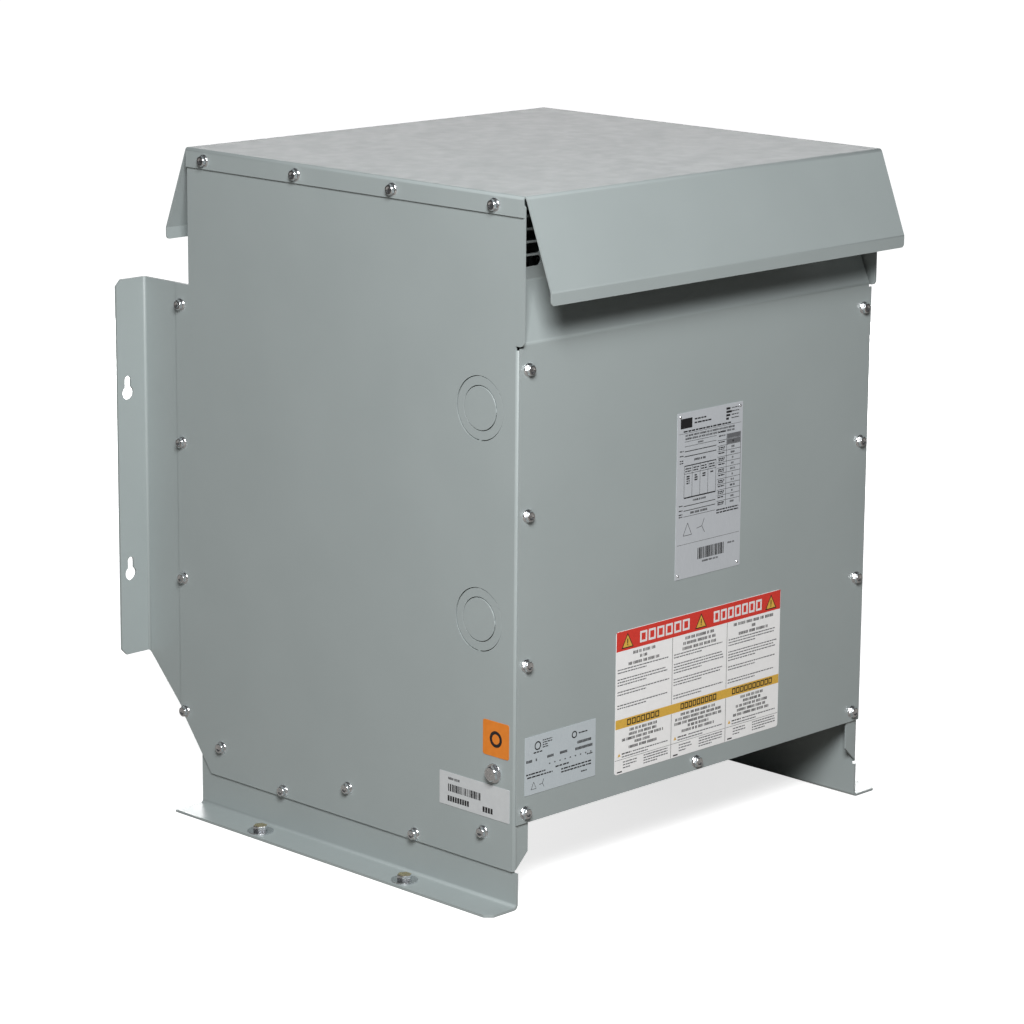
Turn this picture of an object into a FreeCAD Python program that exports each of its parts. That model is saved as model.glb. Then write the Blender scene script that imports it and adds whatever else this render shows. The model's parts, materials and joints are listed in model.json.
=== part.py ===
"""Ventilated dry-type distribution transformer, in millimetres.

+Z is up, -Y is the front (the face with the nameplate), +X is the right-hand side.
The origin is on the floor, at the middle of the rectangle of floor holes. The pieces are drawn
about the middle of the case and moved to that origin as they are written out.
The sheet-metal case stands on two foot rails. The core and its three coils stand inside on
rubber pads. The front and rear covers hook over hanger rails under the top cover, and swing
out at the bottom once their screws are free.
"""
import FreeCAD, Part
import math
import os

V = FreeCAD.Vector
X, Y, Z = V(1, 0, 0), V(0, 1, 0), V(0, 0, 1)
os.makedirs("parts", exist_ok=True)

# ---- Case ----
CASE_WIDTH = 518.0           # over the outer faces of the side panels
CASE_DEPTH = 464.0           # over the faces that the front and rear covers screw to
CASE_HEIGHT = 692.0          # floor to the top of the top cover
PANEL_T = 2.0                # side panel sheet
PANEL_BOTTOM = 38.0          # height of the side panel's lower edge
BEND = 1.8                   # inside radius of an ordinary bend
FLANGE_WIDTH = 18.5          # front return flange of a side panel
FLANGE_CLIP = 18.0           # corner clipped off the bottom of that flange
CHEEK_DROP = 141.0           # the panels stand out past the covers down to here
CHEEK_REACH = 6.8            # how far they stand out
CHEEK_CORNER = 5.0           # rounded lower corner of a front cheek
TOP_CLIP = 7.0               # corners clipped off a side panel under the hood bends
MARGIN_REACH = 27.0          # rear margin of a side panel, behind the cover plane
CLIP_RISE = 60.6             # clipped rear bottom corner of a side panel
CLIP_RUN = 47.3

# ---- Covers ----
COVER_T = 1.6
COVER_GAP = 0.3              # paint and clearance between a cover and what it lies on
COVER_BOTTOM = 85.5
COVER_EDGE = 1.0             # front cover edge inside the side panel's face
SLOPE_BOTTOM_DROP = 139.0    # below the top of the case: the cover leans back from here
SLOPE_TOP_DROP = 85.0        # up to here
RECESS = 24.0                # how far it leans back
SLOPE_BEND = 6.0
SLOT_LENGTH = 38.0
SLOT_HEIGHT = 10.0
SLOT_PITCH_Z = 12.2
SLOT_MARGIN = 14.1           # end of a row of slots, inside the case's outer face
SLOT_ROWS = 5
SLOT_COLUMNS = 10
SLOT_ABOVE_SLOPE = 12.6      # bottom of the lowest slots above the slope

# ---- Hanger rails, which the covers hook over and swing on ----
RAIL_DROP = 7.5              # rail's top edge below the top of the case
RAIL_T = 3.0
RAIL_HEIGHT = 13.0
RAIL_LEG = 14.0
RAIL_TAB = 18.0              # tabs welded to the side panels
RAIL_GAP = 3.0               # between the rail and the cover's slotted strip
HOOK_DROP = 4.5

# ---- Top cover ----
TOP_T = 1.6
TOP_REACH = 8.0              # hood bends in front of and behind the cover planes
TOP_LIP = 19.0               # side lip height
HOOD_REACH = 33.0
HOOD_DROP = 85.0
HOOD_LIP = 12.0
HOOD_INSET = 2.4             # hood narrower than the lips, each side
HOOD_CORNER = 4.0
HOOD_BEND = 3.0
LIP_GAP = 0.3                # between a side lip and the side panel

# ---- Foot rails, base and wall brackets ----
FOOT_T = 2.7
FOOT_BEND = 3.0
FOOT_FLANGE = 37.3           # floor flange, out from the side panel's inner face
FOOT_HEIGHT = 88.0
FOOT_PROUD = 1.0             # front end, in front of the cover plane
FOOT_SHORT = 4.0             # rear end, inside the rear cover plane
FOOT_CORNER = 7.0            # clipped front outer corner
FLOOR_HOLE_R = 5.5
FLOOR_HOLE_IN = 14.8         # hole centre from the flange's outer edge
FLOOR_HOLE_PITCH = 213.0
ROW_SHIFT = 5.0              # floor holes and lip screws sit this far behind the middle
BRACKET_T = 2.5
BRACKET_BOTTOM = 152.0
BRACKET_REACH = 81.5         # wall plane behind the rear cover plane
BRACKET_FLANGE = 37.5        # flange width, from the side panel's inner face
BRACKET_LAP = 23.0           # how far the web laps inside the side panel
BRACKET_CORNER = 6.5
KEYHOLE_IN = 13.5            # keyhole centre from the flange's outer edge
KEYHOLE_R = 7.2
KEYHOLE_SLOT_R = 4.0
KEYHOLE_SLOT_RISE = 13.8     # from the large circle to the centre of the narrow end
KEYHOLE_UP = 87.0            # lower keyhole above the flange's bottom
KEYHOLE_DOWN = 119.5         # upper keyhole below the flange's top
JAMB_T = 2.0
JAMB_LEG = 27.0
SILL_T = 2.0
SILL_UP = 1.0                # sill's lower edge above the cover's
SILL_HEIGHT = 30.0
SILL_LEG = 12.0
CHANNEL_WIDTH = 36.0
CHANNEL_HEIGHT = 38.0
CHANNEL_T = 2.7

# ---- Knockouts ----
KNOCKOUT_IN = 50.0           # centre behind the cover plane
KNOCKOUT_UP = 242.0          # lower knockout above the panel's lower edge
KNOCKOUT_DOWN = 65.5         # upper knockout below the cheeks
KNOCKOUT_OUTER_R = 31.4
KNOCKOUT_INNER_R = 22.0
KNOCKOUT_GROOVE = 0.8
KNOCKOUT_SET = 0.5           # how far the struck ring and disc stand in from the face

# ---- Screws ----
SCREW_AF = 9.5               # hex across flats
SCREW_HEAD = 4.6
SCREW_WASHER_R = 6.8
SCREW_WASHER_T = 1.2
SCREW_RECESS_R = 3.1         # hollow in the top of the head
SCREW_RECESS = 0.9
SCREW_R = 2.7
SCREW_LENGTH = 10.0
LIP_SCREW_LENGTH = 6.5       # the lip screws stop short of the covers' hooks
SCREW_CLEAR = 0.7            # between a screw's tip and a cover that swings past it
SCREW_HOLE_R = 3.1
SWING_HOLE_R = 4.4           # room for the screws that swing out with a cover
FRONT_SCREW_UP = 10.5        # lowest screws above the cover's lower edge
FRONT_SCREW_DOWN = 23.0      # highest screws below the cheeks
FRONT_SCREW_SHARES = (0.0, 0.338, 0.676, 1.0)    # of the height between those
FRONT_SCREW_IN = 12.5        # from the side panel's outer face
REAR_SCREW_IN = 19.5
SILL_SCREW_UP = 9.0          # middle screw above the cover's lower edge
LIP_SCREW_END = 34.05        # first and last lip screws from the hood bends
LIP_SCREW_DROP = 11.4        # below the top of the case
BASE_UPPER_UP = 31.5         # upper row above the panel's lower edge
BASE_UPPER_IN = 40.0         # its end screws inside the cover planes
BASE_LOWER_UP = 6.5
BASE_LOWER_PITCH = 193.0
BASE_SHIFT = 2.5             # these rows sit this far behind the middle
MARGIN_SCREW_IN = 7.0        # from the panel's rear edge
MARGIN_SCREW_UP = 59.0       # lowest one above the panel's lower edge
MARGIN_SCREW_DOWN = 22.0     # highest one below the cheeks
MARGIN_SCREWS = 4
GROUND_IN = 27.5             # ground bolt behind the cover plane
GROUND_Z = 132.0
GROUND_R = 4.0
GROUND_AF = 14.0
GROUND_WASHER_R = 9.5
GROUND_WASHER_T = 1.6

# ---- Labels ----
LABEL_T = 0.4
NAMEPLATE_SIZE = (97.0, 168.0, 1.0)          # width, height and corner radius
WARNING_SIZE = (246.0, 145.5, 3.0)
APPROVAL_SIZE = (98.0, 58.0, 0.6)
SERIAL_SIZE = (95.5, 33.5, 0.6)
GROUND_LABEL_SIZE = (35.0, 35.0, 2.4)
NAMEPLATE_PIN_R = 1.6
NAMEPLATE_PIN_T = 0.9
NAMEPLATE_PIN_IN = 4.0       # from the plate's edges

# ---- Core and coils ----
LEG_WIDTH = 56.0
COIL_GAP = 12.0              # between neighbouring coils
CORE_STACK = 70.0
WINDOW_HEIGHT = 236.0
CORE_RAISE = 8.0             # core above the top of the isolation pads
CLAMP_T = 4.0
CLAMP_HEIGHT = 50.0
CLAMP_LEG = 30.0
CLAMP_OVERHANG = 12.0
CLAMP_BOLT_R = 4.0
CLAMP_BOLT_AF = 13.0
CLAMP_BOLT_HEAD = 5.3
NUT_T = 6.5
TERMINAL_BOLT_HEAD = 6.0     # bolt head with its washer, on a bus or coil terminal
CLAMP_HOLE_R = 4.5
TUBE_GAP = 2.0               # core leg to winding tube
TUBE_T = 2.0
LV_T = 13.0
DUCT = 8.0
HV_T = 15.0
LV_HEIGHT = 218.0
HV_HEIGHT = 202.0
STICK_WIDTH = 6.0
SUPPORT_X = 120.0            # isolation pads, each side of the middle
PAD_R = 15.0
PAD_T = 8.0
BOARD_T = 8.0
BOARD_HEIGHT = 34.0
BOARD_GAP = 14.0             # in front of the coils
BOARD_DROP = 8.0             # below the core window
BUS_T = 5.0
BUS_WIDTH = 26.0
BUS_HEIGHT = 46.0
BUS_BOLT_UP = 12.0           # bolt above a pad's lower edge
LEAD_T = 3.0
LEAD_WIDTH = 20.0
TERMINAL_SIZE = 18.0
TERMINAL_T = 3.0
TAP_SPREAD = 22.0
TAP_DROP = 60.0
JUMPER_R = 3.0
STRAP_T = 1.5
STRAP_WIDTH = 14.0
STRAP_UP = 12.0              # strap above the clamp's foot
STRAP_LAP = 10.0             # how far the strap laps the clamp, inside the core's end

# ---- Derived places ----
OUTER = CASE_WIDTH / 2                    # outer face of a side panel
INNER = OUTER - PANEL_T                   # its inner face
PLANE = CASE_DEPTH / 2                    # the covers screw to these planes
CHEEK_BOTTOM = CASE_HEIGHT - CHEEK_DROP
SLOPE_BOTTOM = CASE_HEIGHT - SLOPE_BOTTOM_DROP
SLOPE_TOP = CASE_HEIGHT - SLOPE_TOP_DROP
RAIL_TOP = CASE_HEIGHT - RAIL_DROP
TOP_DEPTH = 2 * (PLANE + TOP_REACH)       # over the hood bends
SLOT_PITCH_X = (CASE_WIDTH - 2 * SLOT_MARGIN - SLOT_LENGTH) / (SLOT_COLUMNS - 1)
FRONT_SCREW_LOW = COVER_BOTTOM + FRONT_SCREW_UP
FRONT_SCREW_RUN = CHEEK_BOTTOM - FRONT_SCREW_DOWN - FRONT_SCREW_LOW
FRONT_SCREW_Z = [FRONT_SCREW_LOW + share * FRONT_SCREW_RUN for share in FRONT_SCREW_SHARES]
SILL_SCREW_Z = COVER_BOTTOM + SILL_SCREW_UP
LIP_SCREW_PITCH = (TOP_DEPTH - 2 * LIP_SCREW_END) / 3
LIP_SCREW_Z = CASE_HEIGHT - LIP_SCREW_DROP
KNOCKOUT_Y = KNOCKOUT_IN - PLANE
KNOCKOUT_Z = (PANEL_BOTTOM + KNOCKOUT_UP, CHEEK_BOTTOM - KNOCKOUT_DOWN)
KEYHOLE_Z = (BRACKET_BOTTOM + KEYHOLE_UP, CHEEK_BOTTOM - KEYHOLE_DOWN)
GROUND_Y = GROUND_IN - PLANE
BACK_OF_FLANGE = PLANE - PANEL_T
CHEEK = PLANE + CHEEK_REACH
MARGIN = PLANE + MARGIN_REACH
PANEL_TOP = CASE_HEIGHT - TOP_T - BEND - 0.2
UPPER_HALF = OUTER + LIP_GAP + TOP_T - LIP_SCREW_LENGTH - SCREW_CLEAR   # front hook
REAR_HALF = OUTER - SCREW_LENGTH - SCREW_CLEAR
COVER_MID = PLANE + COVER_GAP + COVER_T / 2
STRIP_MID = COVER_MID - RECESS            # the slotted strip
RAIL_FACE = STRIP_MID - COVER_T / 2 - RAIL_GAP
RAIL_MID = RAIL_FACE - RAIL_T / 2
CHANNEL_TOP = FOOT_HEIGHT
CLAMP_FOOT = CHANNEL_TOP + PAD_T          # the lower clamps stand on the pads
CLAMP_FOOT_Y = CORE_STACK / 2 + CLAMP_T + CLAMP_LEG / 2
CORE_BOTTOM = CLAMP_FOOT + CORE_RAISE
STRAP_Z = CLAMP_FOOT + STRAP_UP
LEG_BOTTOM = CORE_BOTTOM + LEG_WIDTH
LEG_TOP = LEG_BOTTOM + WINDOW_HEIGHT
CORE_TOP = LEG_TOP + LEG_WIDTH
HV_OUT = TUBE_GAP + TUBE_T + LV_T + DUCT + HV_T     # build-up outside a core leg
LEG_PITCH = LEG_WIDTH + 2 * HV_OUT + COIL_GAP
CORE_HALF = LEG_PITCH + LEG_WIDTH / 2
LEG_X = (-LEG_PITCH, 0.0, LEG_PITCH)
COIL_FRONT = CORE_STACK / 2 + HV_OUT
COIL_MIDDLE = (LEG_BOTTOM + LEG_TOP) / 2
BOARD_BACK = -COIL_FRONT - BOARD_GAP
BOARD_TOP = LEG_BOTTOM - BOARD_DROP
LINE_PAD_Z = COIL_MIDDLE + HV_HEIGHT / 2 - 24.0

# Labels: middle x or y, middle z, width, height
NAMEPLATE = (10.5, CHEEK_BOTTOM - 178.5, *NAMEPLATE_SIZE)
WARNING_LABEL = (1.5, COVER_BOTTOM + 93.0, *WARNING_SIZE)
APPROVAL_LABEL = (60.5 - OUTER, COVER_BOTTOM + 56.0, *APPROVAL_SIZE)
SERIAL_LABEL = (54.5 - PLANE, PANEL_BOTTOM + 64.3, *SERIAL_SIZE)
GROUND_LABEL = (25.5 - PLANE, GROUND_Z + 34.0, *GROUND_LABEL_SIZE)


# ---- Shape helpers ----
def box(x0, x1, y0, y1, z0, z1):
    return Part.makeBox(x1 - x0, y1 - y0, z1 - z0, V(x0, y0, z0))


def rod(r, start, axis, length):
    return Part.makeCylinder(r, length, start, axis)


def plate(points, thickness):
    """A flat plate: an outline of points, thickened along a vector."""
    return Part.Face(Part.makePolygon(points + [points[0]])).extrude(thickness)


def mirror_x(shape):
    return shape.mirror(V(0, 0, 0), X)


def mirror_y(shape):
    return shape.mirror(V(0, 0, 0), Y)


def join(shapes):
    return shapes[0].fuse(shapes[1:]).removeSplitter()


def unit(a, b):
    run = math.hypot(b[0] - a[0], b[1] - a[1])
    return (b[0] - a[0]) / run, (b[1] - a[1]) / run


def folded_sheet(path, t, bend, place, sweep):
    """Sheet folded along a middle line.

    path is the middle line's corners in two dimensions, place turns such a point into a
    vector, and sweep is the vector that the section is drawn along.
    """
    bends = bend if isinstance(bend, tuple) else (bend,) * (len(path) - 2)
    ways = [unit(a, b) for a, b in zip(path, path[1:])]
    corners = []
    for radius, a, b in zip(bends, ways, ways[1:]):
        turn = math.atan2(a[0] * b[1] - a[1] * b[0], a[0] * b[0] + a[1] * b[1])
        corners.append((turn, radius + t / 2))
    cuts = [0.0] + [r * math.tan(abs(turn) / 2) for turn, r in corners] + [0.0]

    def at(i, along, side):
        (x, y), (dx, dy) = path[i], ways[min(i, len(ways) - 1)]
        if i == len(path) - 1 or along < 0:
            dx, dy = ways[i - 1]
        return x + dx * along - dy * side * t / 2, y + dy * along + dx * side * t / 2

    edges, ends = [], []
    for side in (1, -1):
        for i in range(len(ways)):
            a = at(i, cuts[i], side)
            b = at(i + 1, -cuts[i + 1] if cuts[i + 1] else -1e-12, side)
            edges.append(Part.LineSegment(place(*a), place(*b)).toShape())
            if i < len(corners):
                turn, r = corners[i]
                sign = math.copysign(1, turn)
                c = at(i + 1, -cuts[i + 1], 0)
                na, nb = (-ways[i][1], ways[i][0]), (-ways[i + 1][1], ways[i + 1][0])
                centre = c[0] + na[0] * sign * r, c[1] + na[1] * sign * r
                mx, my = unit((0, 0), (na[0] + nb[0], na[1] + nb[1]))
                rr = r - side * sign * t / 2
                middle = centre[0] - mx * sign * rr, centre[1] - my * sign * rr
                nxt = at(i + 1, cuts[i + 1], side)
                edges.append(Part.Arc(place(*b), place(*middle), place(*nxt)).toShape())
        ends.append((at(0, 0.0, side), at(len(ways), -1e-12, side)))
    for k in (0, 1):
        edges.append(Part.LineSegment(place(*ends[0][k]), place(*ends[1][k])).toShape())
    return Part.Face(Part.Wire(Part.__sortEdges__(edges))).extrude(sweep)


def hexagon(af, height, base, axis):
    """Hex prism standing on base, with the corners of its far face turned off."""
    r = af / math.sqrt(3)
    points = [V(r * math.cos(k * math.pi / 3), r * math.sin(k * math.pi / 3), 0)
              for k in range(7)]
    prism = Part.Face(Part.makePolygon(points)).extrude(V(0, 0, height))
    cone = Part.makeCone(r + height, af / 2 * 0.92, height + r - af / 2 * 0.92,
                         V(0, 0, height - (height + r - af / 2 * 0.92)))
    shape = prism.common(cone)
    shape.Placement = FreeCAD.Placement(base, FreeCAD.Rotation(Z, axis))
    return shape


def washer_head_screw(seat, axis, af=SCREW_AF, head=SCREW_HEAD, washer_r=SCREW_WASHER_R,
                      washer_t=SCREW_WASHER_T, r=SCREW_R, length=SCREW_LENGTH):
    """Screw whose washer face lies on seat; axis points out of its head."""
    flange = Part.makeCone(washer_r, washer_r - 1.0, washer_t, seat, axis)
    hexhead = hexagon(af, head, seat + axis * (washer_t * 0.5), axis)
    shank = rod(r, seat - axis * length, axis, length + washer_t * 0.5)
    floor = seat + axis * (washer_t * 0.5 + head - SCREW_RECESS)
    recess = Part.makeCone(SCREW_RECESS_R / 2, SCREW_RECESS_R, SCREW_RECESS, floor, axis)
    return join([flange, hexhead, shank]).cut(recess)


def group(shapes):
    return Part.makeCompound(shapes)


def cut(shape, tools):
    return shape.cut(group(tools)) if tools else shape


# ---- Side panels ----
def lip_screw_y():
    return [ROW_SHIFT + (k - 1.5) * LIP_SCREW_PITCH for k in range(4)]


def base_screw_places():
    """The screws that join a side panel to its foot rail, as (y, z)."""
    end = PLANE - BASE_UPPER_IN
    upper = [(BASE_SHIFT + k * end, PANEL_BOTTOM + BASE_UPPER_UP) for k in (-1, 0, 1)]
    lower = [(BASE_SHIFT + k * BASE_LOWER_PITCH / 2, PANEL_BOTTOM + BASE_LOWER_UP)
             for k in (-1, 1)]
    return upper + lower


def margin_screw_places():
    low = PANEL_BOTTOM + MARGIN_SCREW_UP
    pitch = (CHEEK_BOTTOM - MARGIN_SCREW_DOWN - low) / (MARGIN_SCREWS - 1)
    return [(MARGIN - MARGIN_SCREW_IN, low + k * pitch) for k in range(MARGIN_SCREWS)]


def knockout_places():
    return [(KNOCKOUT_Y, z) for z in KNOCKOUT_Z]


def side_panel():
    """Left-hand panel: flat sheet with a front return flange and cheeks at the top."""
    tangent = PLANE - PANEL_T - BEND
    relief = CHEEK_BOTTOM - 4.0
    outline = [(-tangent, PANEL_BOTTOM), (MARGIN - CLIP_RUN, PANEL_BOTTOM),
               (MARGIN, PANEL_BOTTOM + CLIP_RISE), (MARGIN, CHEEK_BOTTOM),
               (CHEEK, CHEEK_BOTTOM), (CHEEK, PANEL_TOP - TOP_CLIP),
               (CHEEK - TOP_CLIP, PANEL_TOP), (TOP_CLIP - CHEEK, PANEL_TOP),
               (-CHEEK, PANEL_TOP - TOP_CLIP), (-CHEEK, CHEEK_BOTTOM),
               (-tangent, CHEEK_BOTTOM)]
    sheet = plate([V(-OUTER, y, z) for y, z in outline], V(PANEL_T, 0, 0))
    corner = box(-OUTER - 1, -INNER + 1, -CHEEK - 1, -CHEEK + CHEEK_CORNER,
                 CHEEK_BOTTOM - 1, CHEEK_BOTTOM + CHEEK_CORNER)
    round_off = rod(CHEEK_CORNER, V(-OUTER - 1, -CHEEK + CHEEK_CORNER,
                                    CHEEK_BOTTOM + CHEEK_CORNER), X, PANEL_T + 2)
    sheet = sheet.cut(corner.cut(round_off))
    middle = OUTER - PANEL_T / 2
    path = [(-middle, -tangent + PANEL_T), (-middle, -PLANE + PANEL_T / 2),
            (-OUTER + FLANGE_WIDTH, -PLANE + PANEL_T / 2)]
    flange = folded_sheet(path, PANEL_T, BEND, lambda x, y: V(x, y, PANEL_BOTTOM),
                          V(0, 0, relief - PANEL_BOTTOM))
    inner_edge = -OUTER + FLANGE_WIDTH + 1
    clip = plate([V(-OUTER - 1, -PLANE - 1, PANEL_BOTTOM - 1),
                  V(inner_edge, -PLANE - 1, PANEL_BOTTOM - 1),
                  V(inner_edge, -PLANE - 1, PANEL_BOTTOM + FLANGE_CLIP + 1)],
                 V(0, PANEL_T + 2, 0))
    panel = join([sheet, flange.cut(clip)])
    holes = [rod(SCREW_HOLE_R, V(-OUTER - 1, y, z), X, PANEL_T + 2)
             for y, z in base_screw_places() + margin_screw_places()
             + [(y, LIP_SCREW_Z) for y in lip_screw_y()]]
    holes.append(rod(GROUND_R + 0.3, V(-OUTER - 1, GROUND_Y, GROUND_Z), X, PANEL_T + 2))
    holes += [rod(KNOCKOUT_OUTER_R, V(-OUTER - 1, y, z), X, PANEL_T + 2)
              for y, z in knockout_places()]
    holes += [rod(SWING_HOLE_R, V(-OUTER + FRONT_SCREW_IN, -PLANE - 1, z), Y, PANEL_T + 2)
              for z in FRONT_SCREW_Z]
    return cut(panel, holes)


def knockout_ring(y, z):
    """Struck ring, held in the panel by two tabs."""
    start = V(-OUTER + KNOCKOUT_SET, y, z)
    ring = rod(KNOCKOUT_OUTER_R - KNOCKOUT_GROOVE, start, X, PANEL_T - KNOCKOUT_SET)
    ring = ring.cut(rod(KNOCKOUT_INNER_R, start - X, X, PANEL_T + 2))
    tabs = box(-OUTER + KNOCKOUT_SET, -INNER, y - 1.5, y + 1.5,
               z - KNOCKOUT_OUTER_R, z + KNOCKOUT_OUTER_R)
    tabs = tabs.common(rod(KNOCKOUT_OUTER_R, start - X, X, PANEL_T + 2))
    tabs = tabs.cut(rod(KNOCKOUT_INNER_R + 1, start - X, X, PANEL_T + 2))
    return join([ring, tabs])


def knockout_disc(y, z):
    start = V(-OUTER, y, z)
    disc = rod(KNOCKOUT_INNER_R - KNOCKOUT_GROOVE, start, X, PANEL_T)
    tabs = box(-OUTER + KNOCKOUT_SET, -INNER, y - KNOCKOUT_INNER_R, y + KNOCKOUT_INNER_R,
               z - 1.5, z + 1.5)
    tabs = tabs.common(rod(KNOCKOUT_INNER_R, start - X, X, PANEL_T + 2))
    return join([disc, tabs])


# ---- Front and rear covers ----
def cover_path():
    """Middle line of a front cover, as (y, z), from its bottom edge to its hook."""
    top = RAIL_TOP + COVER_GAP + COVER_T / 2
    hook = -RAIL_MID + RAIL_T / 2 + RAIL_GAP + COVER_T / 2
    return [(-COVER_MID, COVER_BOTTOM), (-COVER_MID, SLOPE_BOTTOM), (-STRIP_MID, SLOPE_TOP),
            (-STRIP_MID, top), (hook, top), (hook, RAIL_TOP - HOOK_DROP)]


def vent_slots(half_thickness):
    """Obround cutters for the slotted strip."""
    tools = []
    r = SLOT_HEIGHT / 2
    y = -STRIP_MID - half_thickness
    for row in range(SLOT_ROWS):
        z = SLOPE_TOP + SLOT_ABOVE_SLOPE + r + row * SLOT_PITCH_Z
        for column in range(SLOT_COLUMNS):
            x = (column - (SLOT_COLUMNS - 1) / 2) * SLOT_PITCH_X
            half = SLOT_LENGTH / 2 - r
            bar = box(x - half, x + half, y, y + 2 * half_thickness, z - r, z + r)
            ends = [rod(r, V(x + s * half, y, z), Y, 2 * half_thickness) for s in (-1, 1)]
            tools.append(join([bar] + ends))
    return tools


def cover_screw_places(inset):
    """Screws of a front cover, as (x, z)."""
    x = OUTER - inset
    return [(s * x, z) for s in (-1, 1) for z in FRONT_SCREW_Z] + [(0.0, SILL_SCREW_Z)]


def cover(half_width, upper_half_width, inset):
    """A cover, drawn as the front one."""
    sheet = folded_sheet(cover_path(), COVER_T, (SLOPE_BEND, SLOPE_BEND, 0.8, 0.8),
                         lambda y, z: V(-half_width, y, z), V(2 * half_width, 0, 0))
    tools = [rod(SCREW_HOLE_R, V(x, -COVER_MID - 2, z), Y, 4)
             for x, z in cover_screw_places(inset)]
    if upper_half_width < half_width:
        shoulder = CHEEK_BOTTOM - 2.0
        for s in (-1, 1):
            xs = sorted((s * upper_half_width, s * (half_width + 1)))
            tools.append(box(xs[0], xs[1], -PLANE - 10, 0, shoulder, CASE_HEIGHT))
    return cut(sheet, tools + vent_slots(COVER_T + 1))


def front_cover():
    return cover(OUTER - COVER_EDGE, UPPER_HALF, FRONT_SCREW_IN)


def rear_cover():
    return mirror_y(cover(REAR_HALF, REAR_HALF, REAR_SCREW_IN))


def cover_screws(inset):
    face = -COVER_MID - COVER_T / 2
    return group([washer_head_screw(V(x, face, z), -Y) for x, z in cover_screw_places(inset)])


def hanger_rail():
    """Front rail, with a rounded top edge for the cover's hook and a tab at each end."""
    bottom = RAIL_TOP - RAIL_HEIGHT
    r = RAIL_T / 2
    half = UPPER_HALF
    bar = box(-half, half, -RAIL_MID - r, -RAIL_MID + r, bottom, RAIL_TOP - r)
    crown = rod(r, V(-half, -RAIL_MID, RAIL_TOP - r), X, 2 * half)
    leg = box(-INNER, INNER, -RAIL_MID - r, -RAIL_MID + RAIL_LEG, bottom, bottom + RAIL_T)
    tab = box(-INNER, -INNER + RAIL_T, -RAIL_MID - r, -RAIL_MID + RAIL_LEG, bottom - RAIL_TAB,
              bottom)
    tabs = [tab, mirror_x(tab)]
    return join([bar, crown, leg] + tabs)


def sill(inset):
    """Front sill, an angle behind the panel flanges that takes the middle screw."""
    y = -BACK_OF_FLANGE + 0.2 + SILL_T / 2
    bottom = COVER_BOTTOM + SILL_UP
    path = [(y, bottom), (y, bottom + SILL_HEIGHT), (y + SILL_LEG, bottom + SILL_HEIGHT)]
    half = INNER - FOOT_T - 1.0
    angle = folded_sheet(path, SILL_T, BEND, lambda y, z: V(-half, y, z), V(2 * half, 0, 0))
    tools = [rod(SWING_HOLE_R, V(0, y - 3, SILL_SCREW_Z), Y, 6)]
    tools += [rod(SWING_HOLE_R, V(s * (OUTER - inset), y - 3, FRONT_SCREW_Z[0]), Y, 6)
              for s in (-1, 1)]
    return cut(angle, tools)


def rear_jamb():
    """Left rear angle that the rear cover screws to."""
    x = -INNER + JAMB_T / 2
    y = PLANE - JAMB_T / 2
    path = [(x, PLANE - JAMB_LEG), (x, y), (x + JAMB_LEG, y)]
    bottom = FOOT_HEIGHT + 2.0
    angle = folded_sheet(path, JAMB_T, BEND, lambda x, y: V(x, y, bottom),
                         V(0, 0, CHEEK_BOTTOM - 3.0 - bottom))
    holes = [rod(SWING_HOLE_R, V(-OUTER + REAR_SCREW_IN, PLANE - JAMB_T - 1, z), Y,
                 JAMB_T + 2) for z in FRONT_SCREW_Z]
    return cut(angle, holes)


# ---- Top cover ----
def top_cover():
    z = CASE_HEIGHT - TOP_T / 2
    drop = z - HOOD_DROP
    half = TOP_DEPTH / 2
    path = [(-half - HOOD_REACH, drop - HOOD_LIP), (-half - HOOD_REACH, drop), (-half, z),
            (half, z), (half + HOOD_REACH, drop), (half + HOOD_REACH, drop - HOOD_LIP)]
    lip_outer = OUTER + LIP_GAP + TOP_T
    hood_half = lip_outer - HOOD_INSET
    sheet = folded_sheet(path, TOP_T, HOOD_BEND, lambda y, z: V(-hood_half, y, z),
                         V(2 * hood_half, 0, 0))
    lip_mid = lip_outer - TOP_T / 2
    lips = []
    for s in (-1, 1):
        lip = [(s * (hood_half - 8), z), (s * lip_mid, z), (s * lip_mid, z - TOP_LIP)]
        lips.append(folded_sheet(lip, TOP_T, BEND, lambda x, z: V(x, -half + 1.5, z),
                                 V(0, 2 * half - 3, 0)))
    shape = join([sheet] + lips)
    tools = [rod(SCREW_HOLE_R, V(s * lip_mid - 2, y, LIP_SCREW_Z), X, 4)
             for s in (-1, 1) for y in lip_screw_y()]
    bottom = drop - HOOD_LIP
    for sx in (-1, 1):
        for sy in (-1, 1):
            y = sy * (half + HOOD_REACH)
            x = sx * hood_half
            xs = sorted((x + sx, x - sx * HOOD_CORNER))
            corner = box(xs[0], xs[1], y - 2, y + 2, bottom - 1, bottom + HOOD_CORNER)
            round_off = rod(HOOD_CORNER, V(x - sx * HOOD_CORNER, y - 3, bottom + HOOD_CORNER),
                            Y, 6)
            tools.append(corner.cut(round_off))
    return cut(shape, tools)


def lip_screws():
    face = OUTER + LIP_GAP + TOP_T
    return group([washer_head_screw(V(s * face, y, LIP_SCREW_Z), X * s,
                                    length=LIP_SCREW_LENGTH)
                  for s in (-1, 1) for y in lip_screw_y()])


def side_screws(places):
    return group([washer_head_screw(V(s * OUTER, y, z), X * s)
                  for s in (-1, 1) for y, z in places])


# ---- Foot rails, base channels, wall brackets ----
def floor_hole_places():
    return [(INNER + FOOT_FLANGE - FLOOR_HOLE_IN, ROW_SHIFT + k * FLOOR_HOLE_PITCH / 2)
            for k in (-1, 1)]


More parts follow.
